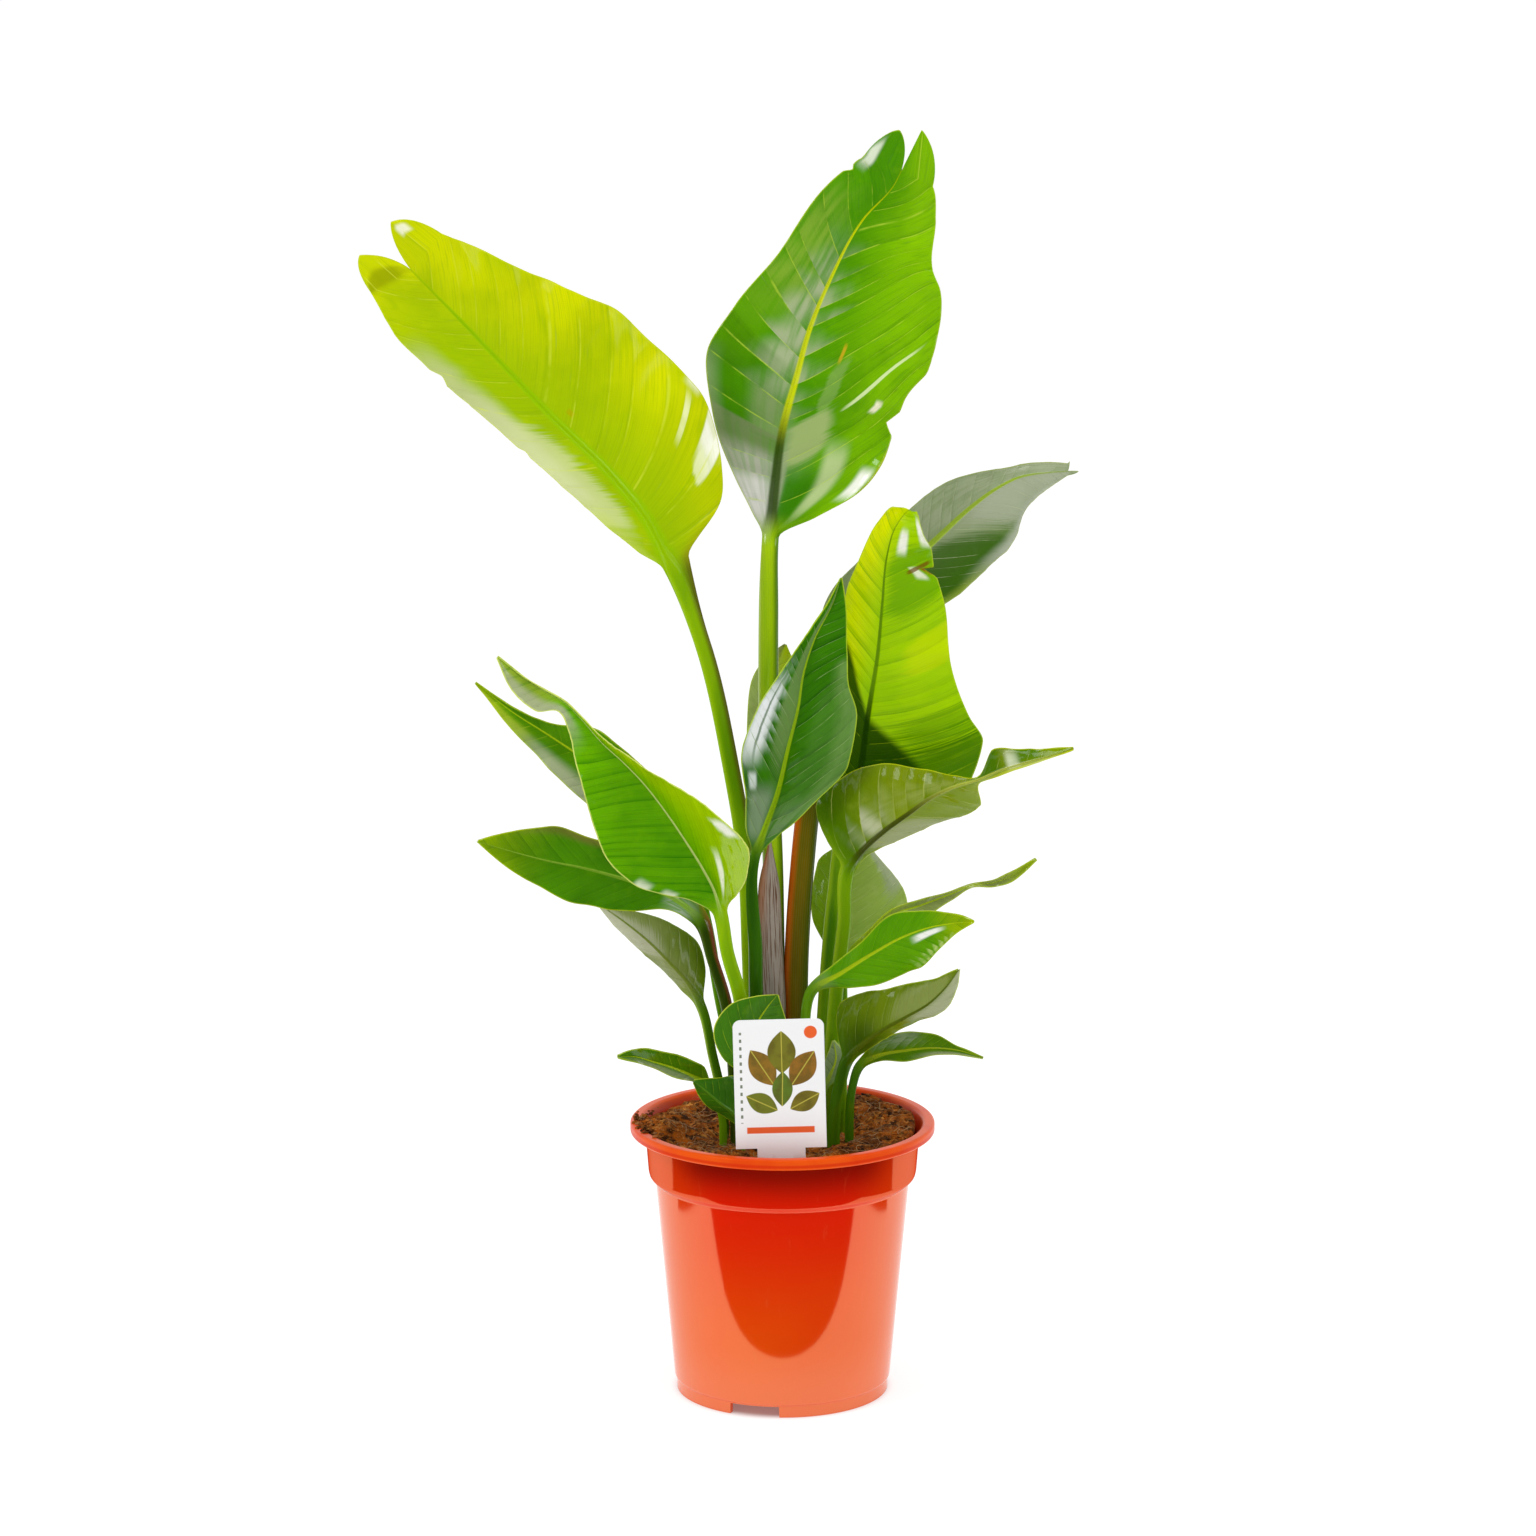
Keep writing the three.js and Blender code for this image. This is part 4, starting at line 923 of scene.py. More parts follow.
leftLevelLeaf = {
    "name": "leaf_left_level", "seed": 9.6, "panel": 12, "panelHeight": 0.5,
    "veinSlope": (1.2, 1.4, 1.2, 1.4),
    "stalk": [(-36, 186, -24), (-38, 250, -24), (-45, 315, -24), (-55, 348, -23)],
    "stalkHalf": (4.8, 4.5),
    "blade": [
        (-64, 378, -21, 6, 7), (-84, 396, -26, 11, 14), (-106, 406, -32, 20, 22), (-130, 414, -40, 27, 26),
        (-156, 421, -48, 28, 25), (-185, 427, -57, 21, 29), (-211, 434, -66, 13, 19), (-238, 442, -76, 1, 1),
    ],
    "fold": (14, 18), "cup": (-20, -22),
    "look": lookOf(
        upper=srgb(82, 148, 0), deep=srgb(44, 108, 0), pale=srgb(120, 176, 10), vein=srgb(120, 172, 20),
        rib=srgb(140, 184, 50), margin=srgb(196, 210, 20), veinShow=0.3,
        turn=(srgb(160, 192, 0), -1.9, 2.9, 0),
        stalk=srgb(64, 86, 6), stalkDark=srgb(40, 58, 4), stalkRight=srgb(140, 60, 40),
        # The greyish patch at the base is painted sheen.
        patches=[
            (srgb(186, 196, 176), (0.03, 0.17), (-1.2, 0.4), 0.8, "panels"),
            (srgb(126, 116, 52), (0.1, 0.78), (0.8, 1.3), 0.75, "soft"),
        ]),
}

leftLowLeaf = {
    "name": "leaf_left_low", "seed": 10.2, "panel": 10, "panelHeight": 0.6,
    "stalk": [(-46, 186, -8), (-47, 230, -8), (-55, 270, -9)],
    "stalkHalf": (4, 3.6),
    "blade": [
        (-65, 312, -12, 4, 4), (-74, 328, -12, 9, 16), (-87, 343, -11, 10.5, 24), (-104, 361, -8, 12, 19),
        (-123, 377, -4, 11, 10), (-145, 393, 0, 1, 1),
    ],
    "fold": (-40, -30), "cup": (-20, -24),
    "look": lookOf(
        under=srgb(136, 148, 84), deep=srgb(98, 116, 36), pale=srgb(172, 178, 140), vein=srgb(176, 182, 136),
        rib=srgb(116, 134, 40), margin=srgb(150, 176, 40), veinShow=0.6,
        turn=(srgb(98, 120, 6), 0.5, -1.3, 0.8),
        stalk=srgb(84, 130, 6), stalkLeft=srgb(150, 184, 50),
        # The greyish patch is painted sheen.
        patches=[
            (srgb(184, 186, 158), (0.42, 1.0), (-1.3, 0.3), 0.75, "slanted"),
            (srgb(92, 118, 4), (0.1, 0.5), (0.2, 1.3), 0.5, "soft"),
        ]),
}

leftSmallLeaf = {
    "name": "leaf_left_small", "seed": 11.4, "panel": 8, "panelHeight": 0.4,
    "stalk": [(-47, 186, -30), (-48, 222, -30)],
    "stalkHalf": (3, 3),
    "blade": [
        (-58, 246, -32, 3, 3), (-70, 253, -35, 4, 12), (-86, 260, -39, 7, 12), (-102, 265, -43, 5, 11),
        (-116, 269, -47, 4, 8), (-130, 269, -50, 1, 1),
    ],
    "fold": (22, 26), "cup": (-10, -14),
    "look": lookOf(
        upper=srgb(84, 138, 10), deep=srgb(50, 100, 6),
        # The greyish patch is painted sheen.
        patches=[
            (srgb(150, 164, 116), (0.0, 0.85), (-1.3, -0.3), 0.7, "soft"),
            (srgb(70, 120, 0), (0.0, 0.4), (0, 1.2), 0.6, "soft"),
        ]),
}

frontCupLeaf = {
    "name": "leaf_front_cup", "seed": 12.8, "panel": 8, "panelHeight": 0.4,
    "stalk": [(-33, 186, -56), (-32, 204, -56)],
    "stalkHalf": (3.4, 3.4),
    "blade": [
        (-31, 212, -59, 4, 4), (-38, 222, -64, 8, 16), (-49, 231, -68, 10, 22), (-59, 240, -71, 8, 12),
        (-70, 249, -73, 1, 1),
    ],
    "fold": (-20, -20), "cup": (-24, -24),
    "look": lookOf(
        under=srgb(60, 116, 14), deep=srgb(30, 76, 8), pale=srgb(110, 150, 40), rib=srgb(90, 140, 30)),
}

frontRoundLeaf = {
    "name": "leaf_front_round", "seed": 13.5, "panel": 10, "panelHeight": 0.5,
    "stalk": [(-16, 186, -52), (-18, 222, -52)],
    "stalkHalf": (3.4, 3.2),
    "blade": [
        (-29, 255, -50, 4, 4), (-31, 268, -50, 17, 24), (-26, 283, -51, 29, 31), (-19, 298, -53, 25, 27),
        (-12, 309, -55, 14, 17), (-4, 319, -57, 1, 1),
    ],
    "fold": (8, 12), "cup": (-30, -30),
    "look": lookOf(upper=srgb(76, 134, 24), deep=srgb(44, 100, 12), margin=srgb(206, 220, 60), marginShow=1),
}

rightPaleLeaf = {
    "name": "leaf_right_pale", "seed": 14.9, "panel": 9, "panelHeight": 0.7,
    "stalk": [(43, 186, 20), (43, 250, 22), (41, 310, 27)],
    "stalkHalf": (4, 3.8),
    "blade": [
        (42, 350, 34, 4, 4), (44, 362, 38, 13, 16), (46, 380, 44, 23, 36), (49, 400, 51, 26, 53),
        (53, 420, 58, 26, 43), (57, 437, 63, 12, 18), (60, 448, 66, 1, 1),
    ],
    "fold": (-12, -16), "cup": (-22, -26),
    "look": lookOf(
        under=srgb(158, 182, 86), deep=srgb(120, 158, 46), pale=srgb(186, 200, 128), vein=srgb(190, 206, 126),
        rib=srgb(144, 172, 60), turn=(srgb(136, 176, 20), 0.2, 0.4, -1.0), stalk=srgb(120, 156, 30),
        # The greyish patch is painted sheen.
        patches=[
            (srgb(160, 168, 142), (0.2, 0.9), (0.62, 1.3), 0.7, "slanted"),
        ]),
}

rightTwistedLeaf = {
    "name": "leaf_right_twisted", "seed": 15.3, "panel": 7, "panelHeight": 0.3,
    "stalk": [(48, 186, 6), (48, 240, 6), (48, 310, 6)],
    "stalkHalf": (3.2, 2.8),
    "blade": [
        (52, 350, 5, 3, 3), (69, 368, 8, 4, 5), (88, 384, 13, 5, 8), (108, 391, 19, 5, 8),
        (129, 399, 25, 3, 5), (149, 407, 31, 1.4, 1.4), (164, 409, 35, 3, 3), (176, 413, 38, 4, 4),
        (198, 428, 43, 1, 1),
    ],
    "fold": (20, 30), "cup": (10, 10),
    "look": lookOf(
        upper=srgb(150, 164, 96), deep=srgb(116, 138, 48), turn=(srgb(156, 186, 8), 1.0, -2.6, -0.5),
        turnToo=(srgb(146, 172, 10), -3.4, 4.6, 0)),
}

rightGlossyLeaf = {
    "name": "leaf_right_glossy", "seed": 16.7, "panel": 9, "panelHeight": 0.5,
    "veinSlope": (1.2, 1.4, 1.2, 1.4),
    "stalk": [(12, 186, -36), (12, 240, -36), (17, 290, -36)],
    "stalkHalf": (4, 3.8),
    "blade": [
        (24, 323, -38, 5, 4), (45, 336, -44, 9, 13), (70, 352, -54, 13, 25), (95, 366, -66, 20, 27),
        (118, 374, -76, 14, 18), (137, 377, -84, 7, 7), (150, 378, -90, 1, 1),
    ],
    "fold": (10, 14), "cup": (-10, -16),
    "look": lookOf(
        upper=srgb(104, 168, 0), deep=srgb(42, 120, 0), pale=srgb(126, 190, 4), vein=srgb(130, 188, 20),
        turn=(srgb(178, 196, 0), -2.6, 3.6, 0),
        # The near-white patch is a painted highlight; the pale streaks and the greyish base are painted
        # sheen.
        patches=[
            (srgb(250, 252, 244), (0.65, 0.81), (0.1, 0.3), 0.97, "soft"),
            (srgb(224, 236, 150), (0.6, 0.85), (0.78, 0.98), 0.5, "panels"),
            (srgb(140, 160, 110), (-0.1, 0.1), (-1.2, 1.2), 0.6, "soft"),
        ]),
}

rightLowLeaf = {
    "name": "leaf_right_low", "seed": 17.1, "panel": 9, "panelHeight": 0.7,
    "stalk": [(40, 186, -38), (41, 222, -38), (45, 246, -39)],
    "stalkHalf": (5.2, 4.6),
    "blade": [
        (51, 266, -43, 5, 5), (62, 278, -52, 31, 8), (78, 290, -62, 28, 8), (97, 301, -72, 21, 10),
        (115, 312, -82, 16, 14), (128, 325, -89, 9, 9), (138, 339, -95, 1, 1),
    ],
    "fold": (-20, -30), "cup": (-30, -20),
    "look": lookOf(
        under=srgb(108, 130, 16), deep=srgb(66, 96, 4), pale=srgb(150, 160, 80), vein=srgb(150, 164, 80),
        rib=srgb(84, 100, 10), turn=(srgb(62, 102, 2), 0.8, -2.4, 0),
        stalk=srgb(66, 110, 4), stalkDark=srgb(46, 86, 2),
        # The two greyish patches are painted sheen.
        patches=[
            (srgb(166, 172, 136), (0.5, 1.1), (0.1, 1.3), 0.75, "slanted"),
            (srgb(150, 160, 96), (0.4, 0.9), (-0.8, 0.0), 0.5, "slanted"),
            (srgb(40, 68, 0), (-0.2, 0.3), (-0.4, 0.8), 0.7, "soft"),
        ]),
}

rightLowestLeaf = {
    "name": "leaf_right_lowest", "seed": 18.6, "panel": 8, "panelHeight": 0.4,
    "veinSlope": (1.2, 1.4, 1.2, 1.4),
    "stalk": [(53, 186, -22), (53, 222, -22), (55, 244, -22)],
    "stalkHalf": (3.6, 3.2),
    "blade": [
        (62, 263, -22, 4, 4), (76, 270, -24, 11, 5), (97, 274, -28, 15, 8), (120, 276, -32, 12, 6),
        (139, 274, -35, 3, 4), (158, 268, -38, 1, 1),
    ],
    "fold": (16, 20), "cup": (-24, -10),
    "look": lookOf(
        upper=srgb(92, 136, 4), deep=srgb(44, 96, 2), rib=srgb(170, 190, 30), stalk=srgb(64, 110, 4),
        # Both greyish patches are painted sheen.
        patches=[
            (srgb(150, 166, 132), (0.16, 0.5), (-1.1, -0.4), 0.7, "panels"),
            (srgb(164, 172, 130), (0.5, 1.1), (0.5, 1.3), 0.7, "soft"),
        ]),
}

rightScrapLeaf = {
    "name": "leaf_right_scrap", "seed": 19.2, "panel": 6, "panelHeight": 0.2,
    "stalk": [(27, 186, -25), (28, 225, -25)],
    "stalkHalf": (3, 2.6),
    "blade": [(33, 244, -25, 3, 3), (38, 255, -26, 9, 7), (42, 267, -26, 8, 8), (40, 282, -26, 1, 1)],
    "fold": (-8, -8), "cup": (-8, -8),
    "look": lookOf(under=srgb(150, 172, 120), pale=srgb(184, 196, 160)),
}

backCentreLeaf = {
    "name": "leaf_back_centre", "seed": 20.4, "panel": 8, "panelHeight": 0.5,
    "stalk": [(0, 186, 34), (0, 250, 34), (-6, 400, 38)],
    "stalkHalf": (5, 4.5),
    "blade": [
        (-14, 470, 42, 4, 4), (-14, 500, 50, 13, 12), (-12, 535, 59, 16, 16), (-9, 562, 67, 17, 18),
        (-3, 585, 73, 10, 13), (2, 598, 77, 1, 1),
    ],
    "fold": (12, 12), "cup": (-16, -16),
    "look": lookOf(
        upper=srgb(172, 190, 116), deep=srgb(140, 168, 60), pale=srgb(196, 208, 140),
        turn=(srgb(184, 208, 0), -0.5, 1.2, 0.9)),
}

drySheath = {
    "name": "dry_sheath", "slot": "dry_sheath", "seed": 21.6, "panel": 40, "panelHeight": 0, "ripple": 0.4,
    "stalk": [(-5, 186, -3), (-5, 206, -3)],
    "stalkHalf": (2.2, 1.6),
    "blade": [
        (-6, 240, -3, 9, 9), (-7, 320, -2, 9, 9), (-9, 360, 0, 10, 9), (-10, 400, 1, 9, 8),
        (-10, 441, 3, 1, 1),
    ],
    "fold": (-12, -12), "cup": (-30, -30),
    "paper": srgb(150, 136, 122), "paperPale": srgb(186, 174, 162), "fibre": srgb(104, 70, 48),
    "rust": srgb(172, 96, 40), "olive": srgb(96, 92, 40),
}

leaves = [
    upperLeftLeaf, topLeaf, backRightLeaf, rightLeaf, centreLeaf, rightLevelLeaf, leftFoldedLeaf,
    leftBehindLeaf, leftLevelLeaf, leftLowLeaf, leftSmallLeaf, frontCupLeaf, frontRoundLeaf, rightPaleLeaf,
    rightTwistedLeaf, rightGlossyLeaf, rightLowLeaf, rightLowestLeaf, rightScrapLeaf, backCentreLeaf,
    drySheath,
]


# The dry sheath between the stalks: grey and papery, with brown fibres along it.
def sheathPaint():
    p = Paint("dry_sheath")
    across, along = p.read("across"), p.read("along")
    wander = p.clouds(30, 3, (1, 1, 0.25)) * 0.5
    fibres = p.flatClouds((across + wander) * 9, along * 0.02, 1.4, 4)
    colour = p.blend(drySheath["paper"], drySheath["paperPale"], p.clouds(40, 3))
    colour = p.blend(colour, drySheath["fibre"], fibres.rise(0.52, 0.66))
    colour = p.blend(colour, drySheath["rust"], along.rise(70, 190) * (0 - across).rise(-0.1, 0.8) * 0.8)
    colour = p.blend(colour, drySheath["olive"], abs(across).rise(0.72, 1) * 0.6)
    p.set(baseColor=colour, roughness=0.7 + fibres * 0.2, specularIORLevel=0.3)
    p.bump(fibres, 0.0008, 0.8)
    return p.material


# The pot, turned from one outline, with rounded corners, notches in its foot and drain holes.
pot = {
    "height": 218, "rim": 120, "rimBand": 9, "mouth": 111, "wall": 2.2,
    "collar": 34, "collarTop": 108, "collarBottom": 105.7, "bodyTop": 100.2, "bodyBottom": 85.5,
    "foot": 83.8, "footHeight": 10, "footWall": 4, "pad": 13,
    "notches": 3, "notchWidth": 40, "notchHeight": 8.6, "notchTurn": -15.5, "notchSlope": 0.0015,
    "drains": 9, "drain": 5, "drainRing": 55, "drainSides": 20, "around": 224,
    # side, low and dark are partly the photograph's light and shade, painted on as colour
    "red": srgb(232, 30, 0), "orange": srgb(236, 78, 0), "side": srgb(230, 80, 4), "dark": srgb(132, 2, 0),
    "cloud": srgb(222, 24, 0), "low": srgb(238, 104, 72), "scuff": srgb(240, 120, 70),
    "rimColour": srgb(236, 84, 8), "rimDeep": srgb(224, 54, 0), "rimInside": srgb(200, 50, 4),
    "rimLine": srgb(214, 34, 0),
    # where the colours fade in, in metres: up the pot, or out from its axis
    "redFade": (0.03, 0.17), "paintedSideLightFade": (0.045, 0.1), "paintedFootLightFade": (0.012, 0.06),
    "paintedShadeFade": (0.172, 0.206), "paintedShadeEnds": (0.06, 0.1), "collarFade": (0.17, 0.177),
    "insideFade": (0.1085, 0.1115), "outsideFade": (0.1185, 0.119),
    "lineHeight": 0.2125, "lineFade": (0.0005, 0.002),
}


def potOutline():
    shoulder = pot["height"] - pot["rimBand"] - pot["collar"]
    wall, foot, high, base = pot["wall"], pot["foot"], pot["height"], pot["footHeight"]
    band = high - pot["rimBand"]
    return [  # radius, height and how round the corner is
        (0, 0, 0), (pot["pad"], 0, 0.6), (pot["pad"] + 2, base, 0.6), (foot - pot["footWall"], base, 0.4),
        (foot - pot["footWall"], 0, 0), (foot, 0, 0), (foot, base - 1, 0.4), (pot["bodyBottom"], base + 1, 1),
        (pot["bodyTop"], shoulder - 4.6, 0.8), (pot["collarBottom"] - 0.9, shoulder - 0.4, 0.9),
        (pot["collarBottom"], shoulder + 3, 1.8), (pot["collarTop"], band - 1.4, 0.8),
        (pot["rim"] - 2.4, band, 0.6), (pot["rim"], band + 1.6, 1), (pot["rim"], high - 1.2, 1.2),
        (pot["rim"] - 1.4, high, 1.2), (pot["mouth"] + 1.5, high, 1), (pot["mouth"] - 0.5, high - 1.5, 1),
        (pot["collarTop"] - wall, band - 3, 1), (pot["collarBottom"] - wall, shoulder + 2, 1),
        (pot["bodyTop"] - wall, shoulder - 6, 1),
        (pot["bodyBottom"] - wall, base + wall, 1), (0, base + wall, 0),
    ]


def rounded(line, steps=4):  # each corner becomes a short curve
    made = []
    for i, (radius, height, size) in enumerate(line):
        if size == 0:
            made.append((radius, height))
            continue
        here = Vector((radius, height))
        before, after = Vector(line[i - 1][:2]), Vector(line[i + 1][:2])
        into = here + (before - here).normalized() * min(size, (before - here).length * 0.45)
        away = here + (after - here).normalized() * min(size, (after - here).length * 0.45)
        for k in range(steps + 1):
            share = k / steps
            spot = into * (1 - share) ** 2 + here * (2 * share * (1 - share)) + away * share ** 2
            made.append(tuple(spot))
    return made


def makePot():
    line = rounded(potOutline())
    turns = [2 * pi * k / pot["around"] for k in range(pot["around"])]
    reach = pot["notchWidth"] / 2 / pot["foot"]
    middles = [radians(pot["notchTurn"] + 360 / pot["notches"] * n) for n in range(pot["notches"])]
    for middle in middles:  # two rows close together at each end of a notch make its steep side
        for side in (-1, 1):
            for slope in (-pot["notchSlope"], pot["notchSlope"]):
                turns.append((middle + side * (reach + slope)) % (2 * pi))
    turns.sort()

    def notched(turn):
        return any(abs((turn - middle + pi) % (2 * pi) - pi) < reach for middle in middles)

    points, faces = [(0, 0, line[0][1]), (0, 0, line[-1][1])], []
    ring = line[1:-1]
    for turn in turns:
        for radius, height in ring:
            atFoot = radius > pot["foot"] - pot["footWall"] - 0.1 and height < 0.1
            lift = pot["notchHeight"] if atFoot and notched(turn) else height
            points.append((radius * sin(turn), -radius * cos(turn), lift))
    count = len(ring)
    for k in range(len(turns)):
        a, b = 2 + k * count, 2 + (k + 1) % len(turns) * count
        faces += [(0, b, a), (1, a + count - 1, b + count - 1)]
        faces += [(a + j, b + j, b + j + 1, a + j + 1) for j in range(count - 1)]
    piece = makePiece("pot", points, faces, replaces="pot")
    cutDrains(piece)
    piece.data.materials.append(potPaint())
    piece.data.materials.append(rimPaint())
    for polygon in piece.data.polygons:
        polygon.use_smooth = True
        polygon.material_index = int(polygon.center.z > (pot["height"] - pot["rimBand"] + 0.5) * mm)
    piece.data.set_sharp_from_angle(angle=radians(50))


def cutDrains(piece):
    points, faces, sides = [], [], pot["drainSides"]
    for n in range(pot["drains"]):
        turn = radians(pot["notchTurn"] + 360 / pot["drains"] * (n + 0.5))
        x, y = pot["drainRing"] * sin(turn), -pot["drainRing"] * cos(turn)
        first = len(points)
        for z in (pot["footHeight"] - 4, pot["footHeight"] + pot["wall"] + 4):
            for k in range(sides):
                spin = 2 * pi * k / sides
                spot = (x + pot["drain"] * cos(spin), y + pot["drain"] * sin(spin), z)
                points.append([c * mm for c in spot])
        faces.append(tuple(range(first + sides - 1, first - 1, -1)))
        faces.append(tuple(range(first + sides, first + 2 * sides)))
        for k in range(sides):
            a, b = first + k, first + (k + 1) % sides
            faces.append((a, b, b + sides, a + sides))
    mesh = bpy.data.meshes.new("drains")
    mesh.from_pydata(points, [], faces)
    cutter = bpy.data.objects.new("drains", mesh)
    scene.collection.objects.link(cutter)
    cut = piece.modifiers.new("drains", "BOOLEAN")
    cut.operation, cut.object, cut.solver = "DIFFERENCE", cutter, "EXACT"
    bpy.context.view_layer.update()
    done = bpy.data.meshes.new_from_object(piece.evaluated_get(bpy.context.evaluated_depsgraph_get()))
    piece.modifiers.remove(cut)
    piece.data = done
    bpy.data.objects.remove(cutter)


def potPaint():
    p = Paint("pot_plastic")
    x, _, z = p.parts(p.place())
    cloud, dust = p.clouds(7, 2), p.clouds(260, 2)
    colour = p.blend(pot["orange"], pot["red"], z.rise(*pot["redFade"]))
    colour = p.blend(colour, pot["cloud"], cloud.rise(0.4, 0.8) * 0.4)
    # Painted light at the sides and near the foot, and painted shade under the rim at front and back.
    colour = p.blend(colour, pot["side"], abs(x).rise(*pot["paintedSideLightFade"]) * 0.75)
    front = 1 - abs(x).rise(*pot["paintedShadeEnds"])
    colour = p.blend(colour, pot["dark"], z.rise(*pot["paintedShadeFade"]) * front * 0.85)
    colour = p.blend(colour, pot["low"], (1 - z.rise(*pot["paintedFootLightFade"])) * 0.5)
    scuffs = p.clouds(40, 5, (3, 3, 0.6), 0.7).rise(0.6, 0.75)
    colour = p.blend(colour, pot["scuff"], scuffs * 0.12)
    p.set(baseColor=colour, roughness=0.07 + scuffs * 0.08 + dust * 0.02, ior=2.0)
    p.set(specularIORLevel=0.7, specularTint=(1, 0.7, 0.34, 1))
    warm = (0.965, 0.79, 0.69, 1)
    p.set(coatWeight=z.rise(*pot["collarFade"]), coatIOR=1, coatTint=warm)  # only tints the collar
    p.bump(cloud, 0.0003, 0.25)
    return p.material


def rimPaint():  # the rim is rubbed and less glossy
    p = Paint("pot_rim")
    x, y, z = p.parts(p.place())
    cloud, dust = p.clouds(30, 3), p.clouds(260, 2)
    colour = p.blend(pot["rimColour"], pot["rimDeep"], cloud.rise(0.4, 0.7) * 0.6)
    away = p.distance(x, y)
    colour = p.blend(colour, pot["rimInside"], 1 - away.rise(*pot["insideFade"]))
    line = 1 - abs(z - pot["lineHeight"]).rise(*pot["lineFade"])
    band = line * away.rise(*pot["outsideFade"])
    colour = p.blend(colour, pot["rimLine"], band * 0.7)
    p.set(baseColor=colour, roughness=0.3 + dust * 0.06, specularIORLevel=0.2, specularTint=(1, 0.76, 0.4, 1))
    p.bump(cloud * 0.5 + dust * 0.06, 0.0006, 0.25)
    return p.material


# The soil: lumps, clods and two sizes of crumb, higher at the rim.
soil = {
    "top": 206, "radius": 104.6, "rings": 96, "around": 288,
    "lumps": (2.2, 13, 17), "smallLumps": (1.4, 6.5, 8),  # height, and how wide each way
    "clods": (3.2, 19), "crumbs": [(2.6, 7, 0.4), (1.1, 2.9, 7)],  # height, size, layer of the noise
    "slope": 3, "bank": 8, "bankWave": 1.2, "bankDip": 5,  # up to the back and to the rim, less in front
    "hills": [(-98, -14, 30, 4, 11), (66, 40, 44, 10, 3)],  # x, y, outer and inner radius, height
    "heap": 5.6, "heapTurn": 187, "heapWidth": (0.86, 0.97),  # at the left it lies up against the rim
    "edgeSink": 2.5, "edgeDrop": 3,
    "sides": [(102.3, 180), (97, 166), (83, 12.8)],  # radius and height, down to the floor
    "dark": srgb(48, 20, 2), "brown": srgb(170, 88, 18), "light": srgb(230, 156, 76),
    "grain": srgb(214, 166, 120), "thread": srgb(192, 124, 62),
}


def soilHeight(x, y):
    high, wide, deep = soil["lumps"]
    height = high * sin(x / wide + 1) * cos(y / deep)
    high, wide, deep = soil["smallLumps"]
    height = soil["top"] + (height + high * sin(x / wide - y / deep))
    bank = soil["slope"] * (0.8 * y + 0.6 * x) / pot["mouth"]
    turn, reach = atan2(y, x), hypot(x, y) / soil["radius"]
    edge = soil["bank"] + soil["bankWave"] * sin(turn * 3 + 1) - soil["bankDip"] * ease(sin(turn), -0.5, -1)
    bank += ease(reach, 0.5, 0.97) * edge
    bank += sum(high * ease(hypot(x - hx, y - hy), far, near) for hx, hy, far, near, high in soil["hills"])
    high, size = soil["clods"]
    height += bank
    height += high * noise.fractal(Vector((x / size, y / size, 3)), 1, 2, 4)
    for high, size, layer in soil["crumbs"]:
        height += high * (0.5 - noise.voronoi(Vector((x / size, y / size, layer)))[0][0])
    return height


def makeSoil():
    count, around = soil["rings"], soil["around"]
    points, faces = [(0, 0, soilHeight(0, 0))], []
    for r in range(1, count + 1):
        for k in range(around):
            turn = 2 * pi * (k + 0.5 * (r % 2)) / around
            heap = soil["heap"] * ease(cos(turn - radians(soil["heapTurn"])), *soil["heapWidth"])
            radius = (soil["radius"] + heap * ease(r / count, 0.8, 1)) * r / count
            x, y = radius * cos(turn), radius * sin(turn)
            z = soilHeight(x, y) - soil["edgeSink"] * ease(r / count, 0.985, 1)
            points.append((x, y, z))
    for k in range(around):
        faces.append((0, 1 + k, 1 + (k + 1) % around))
    for r in range(1, count):
        a, b = 1 + (r - 1) * around, 1 + r * around
        for k in range(around):
            faces.append((a + k, b + k, b + (k + 1) % around, a + (k + 1) % around))
    last = 1 + (count - 1) * around
    edge = [point[2] - soil["edgeDrop"] for point in points[last:]]
    below = [(soil["radius"] - 0.2, edge)] + [(radius, [height] * around) for radius, height in soil["sides"]]
    for radius, heights in below:
        start = len(points)
        for k, height in enumerate(heights):
            turn = 2 * pi * (k + 0.5 * (count % 2)) / around
            points.append((radius * cos(turn), radius * sin(turn), height))
        for k in range(around):
            after = (k + 1) % around
            faces.append((last + k, start + k, start + after, last + after))
        last = start
    faces.append(tuple(range(last + around - 1, last - 1, -1)))
    piece = makePiece("soil", points, faces, replaces="soil")
    piece.data.materials.append(soilPaint("potting_soil"))


